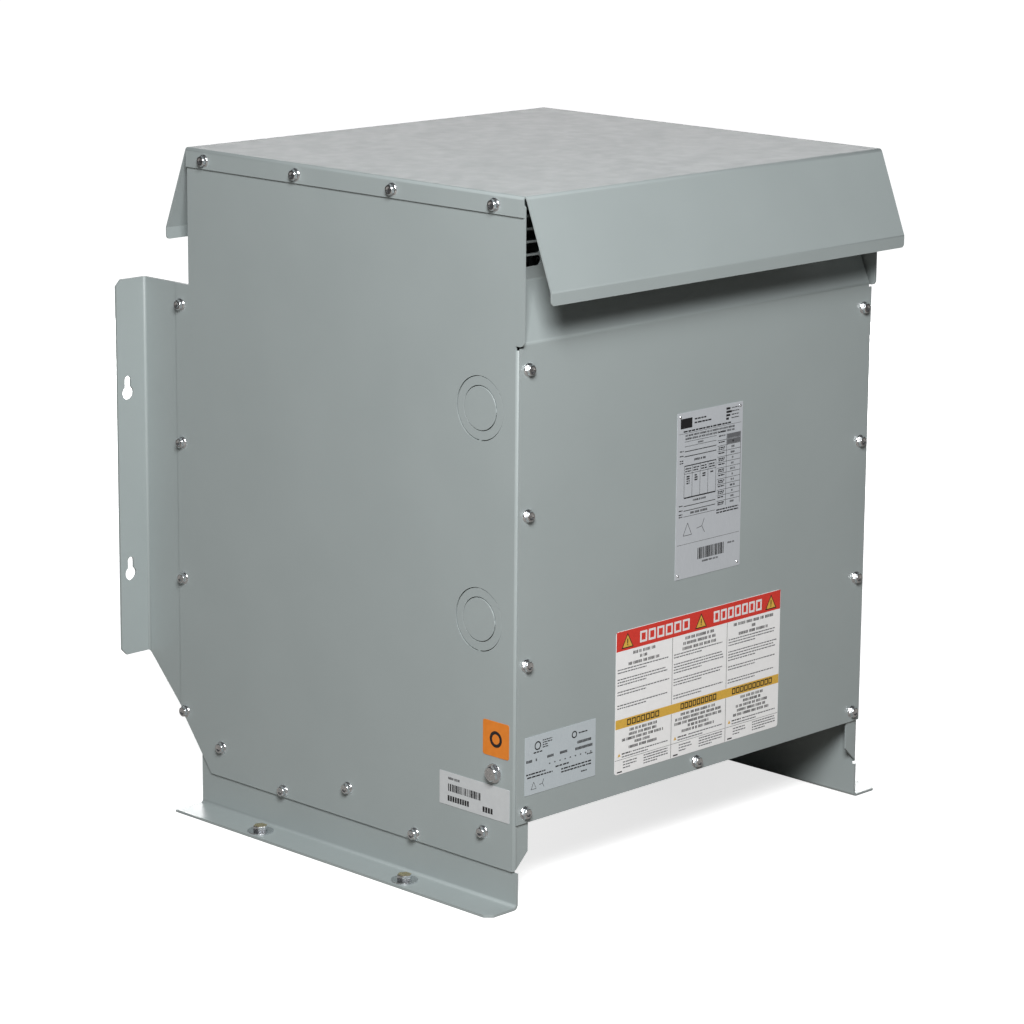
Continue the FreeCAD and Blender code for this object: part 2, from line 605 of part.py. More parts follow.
def foot_rail():
    """Left rail: a web inside the side panel and a flange out along the floor."""
    x = -INNER + FOOT_T / 2
    path = [(-INNER - FOOT_FLANGE, FOOT_T / 2), (x, FOOT_T / 2), (x, FOOT_HEIGHT)]
    front = -PLANE - FOOT_PROUD
    rail = folded_sheet(path, FOOT_T, FOOT_BEND, lambda x, z: V(x, front, z),
                        V(0, PLANE - FOOT_SHORT - front, 0))
    edge = -INNER - FOOT_FLANGE
    tools = [rod(SCREW_HOLE_R, V(-INNER - 1, y, z), X, FOOT_T + 2)
             for y, z in base_screw_places()]
    tools += [rod(FLOOR_HOLE_R, V(-x0, y, -1), Z, FOOT_T + 2) for x0, y in floor_hole_places()]
    tools.append(plate([V(edge - 1, front - 1, -1), V(edge + FOOT_CORNER + 1, front - 1, -1),
                        V(edge - 1, front + FOOT_CORNER + 1, -1)], V(0, 0, FOOT_T + 2)))
    tools.append(box(-INNER - 1, -INNER + FOOT_T + 1, front - 1,
                     -BACK_OF_FLANGE + BEND, PANEL_BOTTOM - 1.5, FOOT_HEIGHT + 1))
    return cut(rail, tools)


def base_channel(y0):
    """Channel across the foot rails under a core clamp, open downwards, with end plates."""
    half = INNER - FOOT_T
    side = CHANNEL_WIDTH / 2 - CHANNEL_T / 2
    top = CHANNEL_TOP - CHANNEL_T / 2
    bottom = CHANNEL_TOP - CHANNEL_HEIGHT
    path = [(y0 - side, bottom), (y0 - side, top), (y0 + side, top), (y0 + side, bottom)]
    channel = folded_sheet(path, CHANNEL_T, BEND, lambda y, z: V(-half, y, z),
                           V(2 * half, 0, 0))
    ends = [box(min(s * half, s * (half - CHANNEL_T)), max(s * half, s * (half - CHANNEL_T)),
                y0 - side, y0 + side, bottom, top) for s in (-1, 1)]
    holes = [rod(CLAMP_HOLE_R, V(s * SUPPORT_X, y0, top - CHANNEL_T), Z, 2 * CHANNEL_T)
             for s in (-1, 1)]
    return cut(join([channel] + ends), holes)


def wall_bracket():
    """Left bracket: a web inside the side panel's rear margin and a flange with keyholes."""
    wall = PLANE + BRACKET_REACH
    x = -INNER + BRACKET_T / 2
    front = MARGIN - BRACKET_LAP
    run = wall - MARGIN
    path = [(x, front), (x, wall - BRACKET_T / 2), (-INNER - BRACKET_FLANGE, wall - BRACKET_T / 2)]
    low = BRACKET_BOTTOM - run - BRACKET_LAP
    shape = folded_sheet(path, BRACKET_T, BEND + 0.7, lambda x, y: V(x, y, low),
                         V(0, 0, CHEEK_BOTTOM - low))
    slanted = plate([V(-INNER - BRACKET_FLANGE - 1, front - 1, low - 2),
                     V(-INNER - BRACKET_FLANGE - 1, wall + 1, low - 2),
                     V(-INNER - BRACKET_FLANGE - 1, wall + 1, BRACKET_BOTTOM),
                     V(-INNER - BRACKET_FLANGE - 1, wall - BRACKET_T, BRACKET_BOTTOM),
                     V(-INNER - BRACKET_FLANGE - 1, front - 1, low - 1)],
                    V(BRACKET_FLANGE + BRACKET_T + 2, 0, 0))
    edge = -INNER - BRACKET_FLANGE
    tools = [slanted]
    for z, s in ((BRACKET_BOTTOM, 1), (CHEEK_BOTTOM, -1)):
        tools.append(plate([V(edge - 1, wall - BRACKET_T - 1, z - s),
                            V(edge + BRACKET_CORNER + 1, wall - BRACKET_T - 1, z - s),
                            V(edge - 1, wall - BRACKET_T - 1, z + s * (BRACKET_CORNER + 1))],
                           V(0, BRACKET_T + 2, 0)))
    xk = edge + KEYHOLE_IN
    for z in KEYHOLE_Z:
        start = wall - BRACKET_T - 1
        top = z + KEYHOLE_SLOT_RISE
        tools.append(rod(KEYHOLE_R, V(xk, start, z), Y, BRACKET_T + 2))
        tools.append(rod(KEYHOLE_SLOT_R, V(xk, start, top), Y, BRACKET_T + 2))
        tools.append(box(xk - KEYHOLE_SLOT_R, xk + KEYHOLE_SLOT_R, start,
                         start + BRACKET_T + 2, z, top))
    tools += [rod(SCREW_HOLE_R, V(-INNER - 1, y, z), X, BRACKET_T + 2)
              for y, z in margin_screw_places()]
    return cut(shape, tools)


def ground_bolt():
    """Ground bolt on the left panel: head outside, nut inside."""
    seat = V(-OUTER - GROUND_WASHER_T, GROUND_Y, GROUND_Z)
    return join([hexagon(GROUND_AF, CLAMP_BOLT_HEAD, seat, -X), rod(GROUND_R, seat - X, X, 20)])


def ground_washer():
    washer = rod(GROUND_WASHER_R, V(-OUTER - GROUND_WASHER_T, GROUND_Y, GROUND_Z), X,
                 GROUND_WASHER_T)
    return washer.cut(rod(GROUND_R + 0.2, V(-OUTER - 3, GROUND_Y, GROUND_Z), X, 5))


def ground_nut():
    nut = hexagon(GROUND_AF, NUT_T, V(-INNER + STRAP_T, GROUND_Y, GROUND_Z), X)
    return nut.cut(rod(GROUND_R + 0.05, V(-INNER, GROUND_Y, GROUND_Z), X, 10))


# ---- Labels ----
def rounded_plate(a, b, width, height, corner, place, thickness):
    """Thin rectangle with rounded corners; place maps (a, b) to a vector."""
    w, h, c = width / 2, height / 2, corner
    k = c * (1 - math.sqrt(0.5))
    edges = []
    for sa, sb in ((1, 1), (-1, 1), (-1, -1), (1, -1)):
        first = (a + sa * w, b + sb * (h - c))
        last = (a + sa * (w - c), b + sb * h)
        if sa * sb < 0:
            first, last = last, first
        middle = (a + sa * (w - k), b + sb * (h - k))
        edges.append((first, middle, last))
    shapes = []
    for i, (first, middle, last) in enumerate(edges):
        shapes.append(Part.Arc(place(*first), place(*middle), place(*last)).toShape())
        following = edges[(i + 1) % 4][0]
        shapes.append(Part.LineSegment(place(*last), place(*following)).toShape())
    return Part.Face(Part.Wire(shapes)).extrude(thickness)


def front_label(spec):
    face = -COVER_MID - COVER_T / 2
    return rounded_plate(*spec, lambda x, z: V(x, face, z), V(0, -LABEL_T, 0))


def left_label(spec):
    return rounded_plate(*spec, lambda y, z: V(-OUTER, y, z), V(-LABEL_T, 0, 0))


def nameplate_pins():
    """Drive pins in the plate's corners, seated on its face."""
    a, b, width, height, _ = NAMEPLATE
    face = -COVER_MID - COVER_T / 2 - LABEL_T
    across, up = width / 2 - NAMEPLATE_PIN_IN, height / 2 - NAMEPLATE_PIN_IN
    pins = []
    for sa in (-1, 1):
        for sb in (-1, 1):
            centre = V(a + sa * across, face, b + sb * up)
            pins.append(Part.makeCone(NAMEPLATE_PIN_R, NAMEPLATE_PIN_R / 2, NAMEPLATE_PIN_T,
                                      centre, -Y))
    return group(pins)


# ---- Core and coils ----
def clamp_bolt_x():
    return [k * LEG_PITCH for k in (-1, 0, 1)]


def clamp_bolt_z():
    return (CORE_BOTTOM + LEG_WIDTH / 2, CORE_TOP - LEG_WIDTH / 2)


def yoke(z0):
    half = CORE_STACK / 2
    bar = box(-CORE_HALF, CORE_HALF, -half, half, z0, z0 + LEG_WIDTH)
    holes = [rod(CLAMP_HOLE_R, V(x, -half - 1, z0 + LEG_WIDTH / 2), Y, CORE_STACK + 2)
             for x in clamp_bolt_x()]
    return cut(bar, holes)


def core_legs():
    half = CORE_STACK / 2
    return group([box(x - LEG_WIDTH / 2, x + LEG_WIDTH / 2, -half, half, LEG_BOTTOM, LEG_TOP)
                  for x in LEG_X])


def core_clamp(z_mid, foot):
    """Front clamp angle along a yoke; foot is -1 for a leg at its bottom edge, +1 for its top."""
    y = -CORE_STACK / 2 - CLAMP_T / 2
    half = CORE_HALF + CLAMP_OVERHANG
    near, far = z_mid - foot * CLAMP_HEIGHT / 2, z_mid + foot * CLAMP_HEIGHT / 2
    if foot < 0:
        far = CLAMP_FOOT + CLAMP_T / 2
    path = [(y, near), (y, far), (y - CLAMP_LEG, far)]
    angle = folded_sheet(path, CLAMP_T, 3.0, lambda y, z: V(-half, y, z), V(2 * half, 0, 0))
    holes = [rod(CLAMP_HOLE_R, V(x, y - 4, z_mid), Y, 8) for x in clamp_bolt_x()]
    if foot < 0:
        holes += [rod(CLAMP_HOLE_R, V(s * SUPPORT_X, -CLAMP_FOOT_Y, CLAMP_FOOT - 1), Z,
                      CLAMP_T + 2) for s in (-1, 1)]
    return cut(angle, holes)


def clamp_bolts():
    face = CORE_STACK / 2 + CLAMP_T
    bolts = []
    for x in clamp_bolt_x():
        for z in clamp_bolt_z():
            head = hexagon(CLAMP_BOLT_AF, CLAMP_BOLT_HEAD, V(x, -face, z), -Y)
            bolts.append(join([head, rod(CLAMP_BOLT_R, V(x, -face - 1, z), Y, 2 * face + 12)]))
    return group(bolts)


def clamp_nuts():
    face = CORE_STACK / 2 + CLAMP_T
    return group([hexagon(CLAMP_BOLT_AF, NUT_T, V(x, face, z), Y).cut(
        rod(CLAMP_BOLT_R + 0.05, V(x, face - 1, z), Y, 10))
        for x in clamp_bolt_x() for z in clamp_bolt_z()])


def rounded_bar(x, gap, corner, z0, z1):
    """Upright bar around a core leg, gap outside its faces, with rounded corners."""
    bar = box(x - LEG_WIDTH / 2 - gap, x + LEG_WIDTH / 2 + gap, -CORE_STACK / 2 - gap,
              CORE_STACK / 2 + gap, z0, z1)
    upright = [e for e in bar.Edges if abs(e.Vertexes[0].Z - e.Vertexes[1].Z) > 1]
    return bar.makeFillet(corner, upright)


def winding(x, gap, thickness, height):
    """Rounded rectangular tube around a core leg; its corners follow those inside it."""
    z0, z1 = COIL_MIDDLE - height / 2, COIL_MIDDLE + height / 2
    outside = rounded_bar(x, gap + thickness, gap + thickness, z0, z1)
    return outside.cut(rounded_bar(x, gap, gap, z0, z1))


def lv_winding(x):
    return winding(x, TUBE_GAP + TUBE_T, LV_T, LV_HEIGHT)


def hv_winding(x):
    return winding(x, TUBE_GAP + TUBE_T + LV_T + DUCT, HV_T, HV_HEIGHT)


def duct_sticks():
    """Spacer sticks that hold the air duct open, on the front and rear of each coil."""
    y0 = CORE_STACK / 2 + TUBE_GAP + TUBE_T + LV_T
    sticks = []
    for x in LEG_X:
        for k in (-1, 0, 1):
            cx = x + k * LEG_WIDTH * 0.4
            for s in (-1, 1):
                ys = sorted((s * y0, s * (y0 + DUCT)))
                sticks.append(box(cx - STICK_WIDTH / 2, cx + STICK_WIDTH / 2, ys[0], ys[1],
                                  COIL_MIDDLE - LV_HEIGHT / 2, COIL_MIDDLE + LV_HEIGHT / 2))
    return group(sticks)


# ---- Core supports ----
def pad_places():
    return [(sx * SUPPORT_X, sy * CLAMP_FOOT_Y) for sx in (-1, 1) for sy in (-1, 1)]


def isolation_pads():
    """Rubber pads between the base channels and the feet of the lower clamps."""
    return group([rod(PAD_R, V(x, y, CHANNEL_TOP), Z, PAD_T).cut(
        rod(CLAMP_HOLE_R, V(x, y, CHANNEL_TOP - 1), Z, PAD_T + 2)) for x, y in pad_places()])


def support_bolts():
    """Bolts that hold the lower clamps down through their pads."""
    length = CLAMP_T + PAD_T + CHANNEL_T + NUT_T + 2
    bolts = []
    for x, y in pad_places():
        seat = V(x, y, CLAMP_FOOT + CLAMP_T)
        bolts.append(join([hexagon(CLAMP_BOLT_AF, CLAMP_BOLT_HEAD, seat, Z),
                           rod(CLAMP_BOLT_R, seat - Z * length, Z, length + 1)]))
    return group(bolts)


def support_nuts():
    seat = CHANNEL_TOP - CHANNEL_T
    return group([hexagon(CLAMP_BOLT_AF, NUT_T, V(x, y, seat), -Z).cut(
        rod(CLAMP_BOLT_R + 0.05, V(x, y, seat - 10), Z, 11)) for x, y in pad_places()])


# ---- Connections ----
def lv_board():
    """Insulating board in front of the lower yoke, for the bus pads."""
    return box(-CORE_HALF - 8, CORE_HALF + 8, BOARD_BACK - BOARD_T, BOARD_BACK,
               BOARD_TOP - BOARD_HEIGHT, BOARD_TOP)


def board_arms():
    """Arms from the lower front clamp out to the board."""
    z = BOARD_TOP - BOARD_HEIGHT / 2
    return group([box(s * CORE_HALF - 8, s * CORE_HALF + 8, BOARD_BACK,
                      -CORE_STACK / 2 - CLAMP_T, z - 2, z + 2) for s in (-1, 1)])


def lv_pads():
    """Bolted bus pads: one for each phase and one for the neutral."""
    face = BOARD_BACK - BOARD_T
    low = BOARD_TOP - BOARD_HEIGHT + 4
    pads = []
    for x in LEG_X + (LEG_PITCH / 2,):
        pad = box(x - BUS_WIDTH / 2, x + BUS_WIDTH / 2, face - BUS_T, face, low,
                  low + BUS_HEIGHT)
        seat = V(x, face - BUS_T, low + BUS_BOLT_UP)
        pads.append(join([pad, hexagon(CLAMP_BOLT_AF, TERMINAL_BOLT_HEAD, seat, -Y)]))
    return group(pads)


def lv_leads():
    """Flat leads from the bottom of each inner winding forward to its bus pad."""
    top = COIL_MIDDLE - LV_HEIGHT / 2
    inner = -CORE_STACK / 2 - TUBE_GAP - TUBE_T
    leads = []
    for x in LEG_X:
        side = LEAD_WIDTH / 2
        flat = box(x - side, x + side, BOARD_BACK - BOARD_T, inner - 4, top - 6, top - 6 + LEAD_T)
        riser = box(x - side, x + side, inner - 4 - LEAD_T, inner - 4, top - 6, top)
        leads.append(join([flat, riser]))
    return group(leads)


def tap_places(x):
    z = LINE_PAD_Z - TAP_DROP
    return [(x, LINE_PAD_Z), (x - TAP_SPREAD, z), (x + TAP_SPREAD, z)]


def hv_terminals():
    """Bolted pads on the front of each outer winding: one line pad and two tap pads."""
    pads = []
    half = TERMINAL_SIZE / 2
    for x0 in LEG_X:
        for x, z in tap_places(x0):
            pad = box(x - half, x + half, -COIL_FRONT - TERMINAL_T, -COIL_FRONT,
                      z - half, z + half)
            seat = V(x, -COIL_FRONT - TERMINAL_T, z)
            pads.append(join([pad, hexagon(CLAMP_BOLT_AF, TERMINAL_BOLT_HEAD, seat, -Y)]))
    return group(pads)


def tap_links():
    """Flat links that join the two tap pads of each coil."""
    half = TAP_SPREAD - TERMINAL_SIZE / 2
    z = LINE_PAD_Z - TAP_DROP
    return group([box(x - half, x + half, -COIL_FRONT - TERMINAL_T, -COIL_FRONT, z - 6, z + 6)
                  for x in LEG_X])


def delta_jumpers():
    """Insulated jumpers between the line pads, closing over the top from end to end."""
    y = -COIL_FRONT - TERMINAL_T - JUMPER_R
    edge = TERMINAL_SIZE / 2 + 1
    shapes = [rod(JUMPER_R, V(x + edge, y, LINE_PAD_Z), X, LEG_PITCH - 2 * edge)
              for x in LEG_X[:2]]
    start, rise = LINE_PAD_Z + edge, 20.0
    upright = [rod(JUMPER_R, V(s * LEG_PITCH, y, start), Z, rise) for s in (-1, 1)]
    over = rod(JUMPER_R, V(-LEG_PITCH - JUMPER_R, y, start + rise), X,
               2 * (LEG_PITCH + JUMPER_R))
    return group(shapes + [join(upright + [over])])


def bond_strap():
    """Copper strap from the lower front clamp, along the left panel, to the ground bolt."""
    y = -CORE_STACK / 2 - CLAMP_T - STRAP_T / 2
    x = -INNER + STRAP_T / 2
    start = -CORE_HALF + STRAP_LAP
    end = GROUND_Y - STRAP_WIDTH / 2
    path = [(start, y), (x, y), (x, end)]
    strip = folded_sheet(path, STRAP_T, 3.0, lambda x, y: V(x, y, STRAP_Z),
                         V(0, 0, STRAP_WIDTH))
    eye = box(-INNER, -INNER + STRAP_T, end, GROUND_Y + STRAP_WIDTH / 2,
              STRAP_Z, GROUND_Z + STRAP_WIDTH / 2)
    hole = rod(GROUND_R + 0.3, V(-INNER - 1, GROUND_Y, GROUND_Z), X, STRAP_T + 2)
    return join([strip, eye]).cut(hole)


# ---- Nodes ----
yoke_mid = (CORE_BOTTOM + LEG_WIDTH / 2, CORE_TOP - LEG_WIDTH / 2)
rings = [knockout_ring(y, z) for y, z in knockout_places()]
discs = [knockout_disc(y, z) for y, z in knockout_places()]
NODES = {
    "foot_rail_left": foot_rail(),
    "foot_rail_right": mirror_x(foot_rail()),
    "base_channels": group([base_channel(s * CLAMP_FOOT_Y) for s in (-1, 1)]),
    "sill_front": sill(FRONT_SCREW_IN),
    "sill_rear": mirror_y(sill(REAR_SCREW_IN)),
    "side_panel_left": side_panel(),
    "side_panel_right": mirror_x(side_panel()),
    "knockout_rings": group(rings + [mirror_x(ring) for ring in rings]),
    "knockout_discs": group(discs + [mirror_x(disc) for disc in discs]),
    "rear_jamb_left": rear_jamb(),
    "rear_jamb_right": mirror_x(rear_jamb()),
    "hanger_rail_front": hanger_rail(),
    "hanger_rail_rear": mirror_y(hanger_rail()),
    "wall_bracket_left": wall_bracket(),
    "wall_bracket_right": mirror_x(wall_bracket()),
    "top_cover": top_cover(),
    "front_cover": front_cover(),
    "rear_cover": rear_cover(),
    "front_cover_screws": cover_screws(FRONT_SCREW_IN),
    "rear_cover_screws": mirror_y(cover_screws(REAR_SCREW_IN)),
    "top_cover_screws": lip_screws(),
    "base_screws": side_screws(base_screw_places()),
    "bracket_screws": side_screws(margin_screw_places()),
    "ground_bolt": ground_bolt(),
    "ground_washer": ground_washer(),
    "ground_nut": ground_nut(),
    "nameplate": front_label(NAMEPLATE),
    "nameplate_pins": nameplate_pins(),
    "warning_label": front_label(WARNING_LABEL),
    "approval_label": front_label(APPROVAL_LABEL),
    "serial_label": left_label(SERIAL_LABEL),
    "ground_label": left_label(GROUND_LABEL),
    "core_yoke_lower": yoke(CORE_BOTTOM),
    "core_legs": core_legs(),
    "core_yoke_upper": yoke(LEG_TOP),
    "clamp_lower_front": core_clamp(yoke_mid[0], -1),
    "clamp_lower_rear": mirror_y(core_clamp(yoke_mid[0], -1)),
    "clamp_upper_front": core_clamp(yoke_mid[1], 1),
    "clamp_upper_rear": mirror_y(core_clamp(yoke_mid[1], 1)),
    "clamp_bolts": clamp_bolts(),
    "clamp_nuts": clamp_nuts(),
    "winding_tubes": group([winding(x, TUBE_GAP, TUBE_T, LV_HEIGHT) for x in LEG_X]),
    "lv_winding_left": lv_winding(LEG_X[0]),
    "lv_winding_middle": lv_winding(LEG_X[1]),
    "lv_winding_right": lv_winding(LEG_X[2]),
    "duct_sticks": duct_sticks(),
    "hv_winding_left": hv_winding(LEG_X[0]),
    "hv_winding_middle": hv_winding(LEG_X[1]),
    "hv_winding_right": hv_winding(LEG_X[2]),
    "isolation_pads": isolation_pads(),
    "support_bolts": support_bolts(),
    "support_nuts": support_nuts(),
    "lv_board": lv_board(),
    "board_arms": board_arms(),
    "lv_pads": lv_pads(),
    "lv_leads": lv_leads(),
    "hv_terminals": hv_terminals(),
    "tap_links": tap_links(),
    "delta_jumpers": delta_jumpers(),
    "bond_strap": bond_strap(),
}

for name, shape in NODES.items():
    shape.translate(V(0, -ROW_SHIFT, 0))
    shape.exportStep(f"parts/{name}.step")
print(len(NODES), "nodes")
print("cover hinges at y", -RAIL_MID - ROW_SHIFT, "and", RAIL_MID - ROW_SHIFT,
      "z", RAIL_TOP - RAIL_T / 2)
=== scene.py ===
# %% [markdown]
# # A ventilated dry-type transformer in the studio
#
# The sheet-metal case, its fasteners, core and coils are already modelled as solids. They come in here
# as a fixed frame in metres. +Z is up, -Y is the front and +X is the right-hand side. This lesson gives
# every piece its finish, prints the labels, adds the floor bolts and sets up the studio.

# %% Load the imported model
import json
import math
import random

import bmesh
import bpy
from mathutils import Matrix, Quaternion, Vector


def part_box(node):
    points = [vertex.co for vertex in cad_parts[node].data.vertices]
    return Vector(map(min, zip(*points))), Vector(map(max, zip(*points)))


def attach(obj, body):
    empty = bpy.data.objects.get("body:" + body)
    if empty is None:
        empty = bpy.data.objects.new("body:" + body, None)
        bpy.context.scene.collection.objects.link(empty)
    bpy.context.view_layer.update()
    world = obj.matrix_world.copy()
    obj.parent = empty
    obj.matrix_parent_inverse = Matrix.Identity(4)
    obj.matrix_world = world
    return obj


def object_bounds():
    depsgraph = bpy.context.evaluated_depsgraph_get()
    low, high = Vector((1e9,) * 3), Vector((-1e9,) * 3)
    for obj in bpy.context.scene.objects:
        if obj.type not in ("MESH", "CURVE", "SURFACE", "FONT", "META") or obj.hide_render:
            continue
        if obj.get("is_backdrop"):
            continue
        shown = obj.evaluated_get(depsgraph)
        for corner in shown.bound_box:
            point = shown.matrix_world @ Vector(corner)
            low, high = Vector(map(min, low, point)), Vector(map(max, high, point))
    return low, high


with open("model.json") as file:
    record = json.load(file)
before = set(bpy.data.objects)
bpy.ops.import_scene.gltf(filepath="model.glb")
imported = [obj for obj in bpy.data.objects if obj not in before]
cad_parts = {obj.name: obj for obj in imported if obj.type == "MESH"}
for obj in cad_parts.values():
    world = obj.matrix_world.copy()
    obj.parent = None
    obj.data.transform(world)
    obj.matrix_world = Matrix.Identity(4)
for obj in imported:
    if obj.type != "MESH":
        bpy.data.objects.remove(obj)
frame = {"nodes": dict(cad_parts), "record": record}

cad_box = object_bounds()
MM = 0.001
print(len(frame["nodes"]), "pieces, from", [round(c, 4) for c in cad_box[0]],
      "to", [round(c, 4) for c in cad_box[1]])

# %% [markdown]
# ## Small helpers for materials
#
# Every finish here is procedural. A finish could be an image, but an image has one resolution and needs
# an unwrapped surface. Noise read from the object's own coordinates is in real millimetres, so orange
# peel on paint is the same size on a small bracket and on a large panel.

# %% Helpers that start a finish and wire its nodes
def finish(name, colour, roughness, metallic=0.0):
    """A new material with these plain settings on its shader."""
    material = bpy.data.materials.new(name)
    material.use_nodes = True
    surface = shader_of(material)
    surface.inputs["Base Color"].default_value = (*colour, 1.0)
    surface.inputs["Roughness"].default_value = roughness
    surface.inputs["Metallic"].default_value = metallic
    return material


def shader_of(material):
    return material.node_tree.nodes["Principled BSDF"]


def add(material, kind, **sockets):
    """One more node. An underscore in a socket's name stands for a space."""
    node = material.node_tree.nodes.new("ShaderNode" + kind)
    for socket, value in sockets.items():
        node.inputs[socket.replace("_", " ")].default_value = value
    return node


def wire(material, source, target):
    material.node_tree.links.new(source, target)


def place(material, stretch):
    """The piece's own coordinates, in metres, squeezed along each axis."""
    where = add(material, "TexCoord")
    mapping = add(material, "Mapping", Scale=stretch)
    wire(material, where.outputs["Object"], mapping.inputs["Vector"])
    return mapping.outputs["Vector"]

# %% Helpers for patterns
def cloud(material, size_mm, detail=2.0, stretch=(1, 1, 1)):
    """Noise with blotches about this large."""
    noise = add(material, "TexNoise", Scale=1 / (size_mm * MM), Detail=detail)
    wire(material, place(material, stretch), noise.inputs["Vector"])
    return noise.outputs["Fac"]


def bands(material, axis, pitch_mm, wander=0.0):
    """Even stripes across one axis. A wave node repeats every 2 pi / 20 units at scale 1."""
    wave = add(material, "TexWave", Scale=math.tau / 20 / (pitch_mm * MM), Distortion=wander)
    wave.bands_direction = axis
    wire(material, place(material, (1, 1, 1)), wave.inputs["Vector"])
    return wave.outputs["Fac"]


def spread(material, source, low, high, start=0.3, end=0.7):
    """Maps the middle of a pattern onto the range from low to high."""
    ranged = add(material, "MapRange", From_Min=start, From_Max=end, To_Min=low, To_Max=high)
    wire(material, source, ranged.inputs["Value"])
    return ranged.outputs["Result"]


def between(material, share, first, second):
    """Mixes two colours by a pattern. Either may be another mix."""
    mix = add(material, "MixRGB")
    wire(material, share, mix.inputs["Fac"])
    for socket, colour in (("Color1", first), ("Color2", second)):
        if isinstance(colour, tuple):
            mix.inputs[socket].default_value = (*colour, 1.0)
        else:
            wire(material, colour, mix.inputs[socket])
    return mix.outputs["Color"]

# %% Helpers that send a pattern to the shader
def colour_by(material, source):
    wire(material, source, shader_of(material).inputs["Base Color"])


def roughen(material, source, low, high):
    wire(material, spread(material, source, low, high), shader_of(material).inputs["Roughness"])


def raise_by(material, source, height_mm):
    """Relief of this height. A second call adds its relief to the first."""
    bump = add(material, "Bump", Distance=height_mm * MM)
    normal = shader_of(material).inputs["Normal"]
    if normal.is_linked:
        wire(material, normal.links[0].from_socket, bump.inputs["Normal"])
    wire(material, source, bump.inputs["Height"])
    wire(material, bump.outputs["Normal"], normal)


print("helpers ready")

# %% [markdown]
# ## The grey powder coat
#
# The case is sheet steel with a satin, slightly green-grey powder coat. Baked powder flows into a skin of
# very shallow dimples a few millimetres across, called orange peel. Under it the sheet itself is never
# quite flat. One plain colour with one roughness would look like plastic, so three sizes of noise are
# used: fine grit, orange peel and the slow waves of the sheet.

# %% Powder coat on the case
PAINT_LIGHT = (0.347, 0.391, 0.391)
PAINT_DARK = (0.334, 0.377, 0.377)


def powder_coat(name, light, dark, roughness):
    paint = finish(name, light, roughness)
    blotches = cloud(paint, 90, 3)
    colour_by(paint, between(paint, spread(paint, blotches, 0, 1), dark, light))
    roughen(paint, cloud(paint, 14, 3), roughness - 0.05, roughness + 0.05)
    raise_by(paint, cloud(paint, 160, 1), 0.25)
    raise_by(paint, cloud(paint, 3.2, 2), 0.006)
    raise_by(paint, cloud(paint, 0.7, 2), 0.002)
    shader_of(paint).inputs["Coat Weight"].default_value = 0.12
    shader_of(paint).inputs["Coat Roughness"].default_value = 0.22
    return paint


case_paint = powder_coat("case powder coat", PAINT_LIGHT, PAINT_DARK, 0.40)
clamp_paint = powder_coat("core clamp primer", (0.060, 0.066, 0.070), (0.045, 0.050, 0.054), 0.55)
print("paints:", case_paint.name, "and", clamp_paint.name)

# %% [markdown]
# ## Zinc plate
#
# The screws and bolts are zinc plated steel: bright, a little blue, with fine drawing lines and patches
# that are duller where they rubbed in the box. A fully metallic shader takes its look from what it
# reflects, so most of the work is in the roughness.

# %% Zinc on the fasteners
def plated(name, bright, dull, smooth, rough):
    plate = finish(name, bright, smooth, 1.0)
    patches = cloud(plate, 2.5, 3)
    colour_by(plate, between(plate, spread(plate, patches, 0, 1), dull, bright))
    roughen(plate, cloud(plate, 1.1, 3), smooth, rough)
    raise_by(plate, cloud(plate, 0.4, 2, (1, 1, 6)), 0.004)
    return plate


zinc = plated("zinc plate", (0.86, 0.87, 0.88), (0.68, 0.70, 0.73), 0.14, 0.30)
yellow_zinc = plated("yellow zinc plate", (0.88, 0.70, 0.34), (0.72, 0.62, 0.44), 0.18, 0.34)
print("plating:", zinc.name, "and", yellow_zinc.name)

# %% [markdown]
# ## Label stock and inks
#
# The nameplate and the approval plate are thin satin metallised film. The others are glossier vinyl. The
# film has a faint upright grain. Vinyl is smoother, but it follows the orange peel below it. Ink
# is a solid colour that lies slightly unevenly, so each ink also gets a fine mottle.

# %% Film, vinyl and inks
ROLLED = (12, 12, 1)             # film grain, drawn out along the height of the label
EVEN = (1, 1, 1)


def label_film(name, light, dark, roughness, metallic, grain_shape):
    film = finish(name, light, roughness, metallic)
    grain = cloud(film, 6, 3, grain_shape)
    colour_by(film, between(film, spread(film, grain, 0, 1), dark, light))
    roughen(film, cloud(film, 9, 2), roughness - 0.05, roughness + 0.06)
    raise_by(film, cloud(film, 3.2, 2), 0.006)
    return film


def ink(name, colour, roughness=0.45):
    dark = tuple(0.86 * c for c in colour)
    print_ink = finish(name, colour, roughness)
    mottle = spread(print_ink, cloud(print_ink, 1.5, 3), 0, 1)
    colour_by(print_ink, between(print_ink, mottle, dark, colour))
    roughen(print_ink, cloud(print_ink, 5, 2), roughness - 0.05, roughness + 0.05)
    raise_by(print_ink, cloud(print_ink, 0.6, 2), 0.002)
    return print_ink


nameplate_film = label_film("satin nameplate film", (0.60, 0.63, 0.665), (0.56, 0.59, 0.625),
                            0.42, 0.2, ROLLED)
warning_vinyl = label_film("white warning vinyl", (0.92, 0.92, 0.92), (0.89, 0.89, 0.89), 0.36, 0.0, EVEN)
approval_film = label_film("satin approval film", (0.585, 0.645, 0.68), (0.545, 0.605, 0.64),
                           0.42, 0.2, ROLLED)
serial_vinyl = label_film("white serial vinyl", (0.58, 0.60, 0.61), (0.55, 0.57, 0.58), 0.36, 0.0, EVEN)
orange_vinyl = label_film("orange marking vinyl", (0.76, 0.23, 0.025), (0.71, 0.205, 0.02), 0.40, 0.0, EVEN)
black_ink = ink("black ink", (0.012, 0.012, 0.014))
grey_ink = ink("grey ink", (0.14, 0.145, 0.155))
red_ink = ink("red ink", (0.72, 0.045, 0.03))
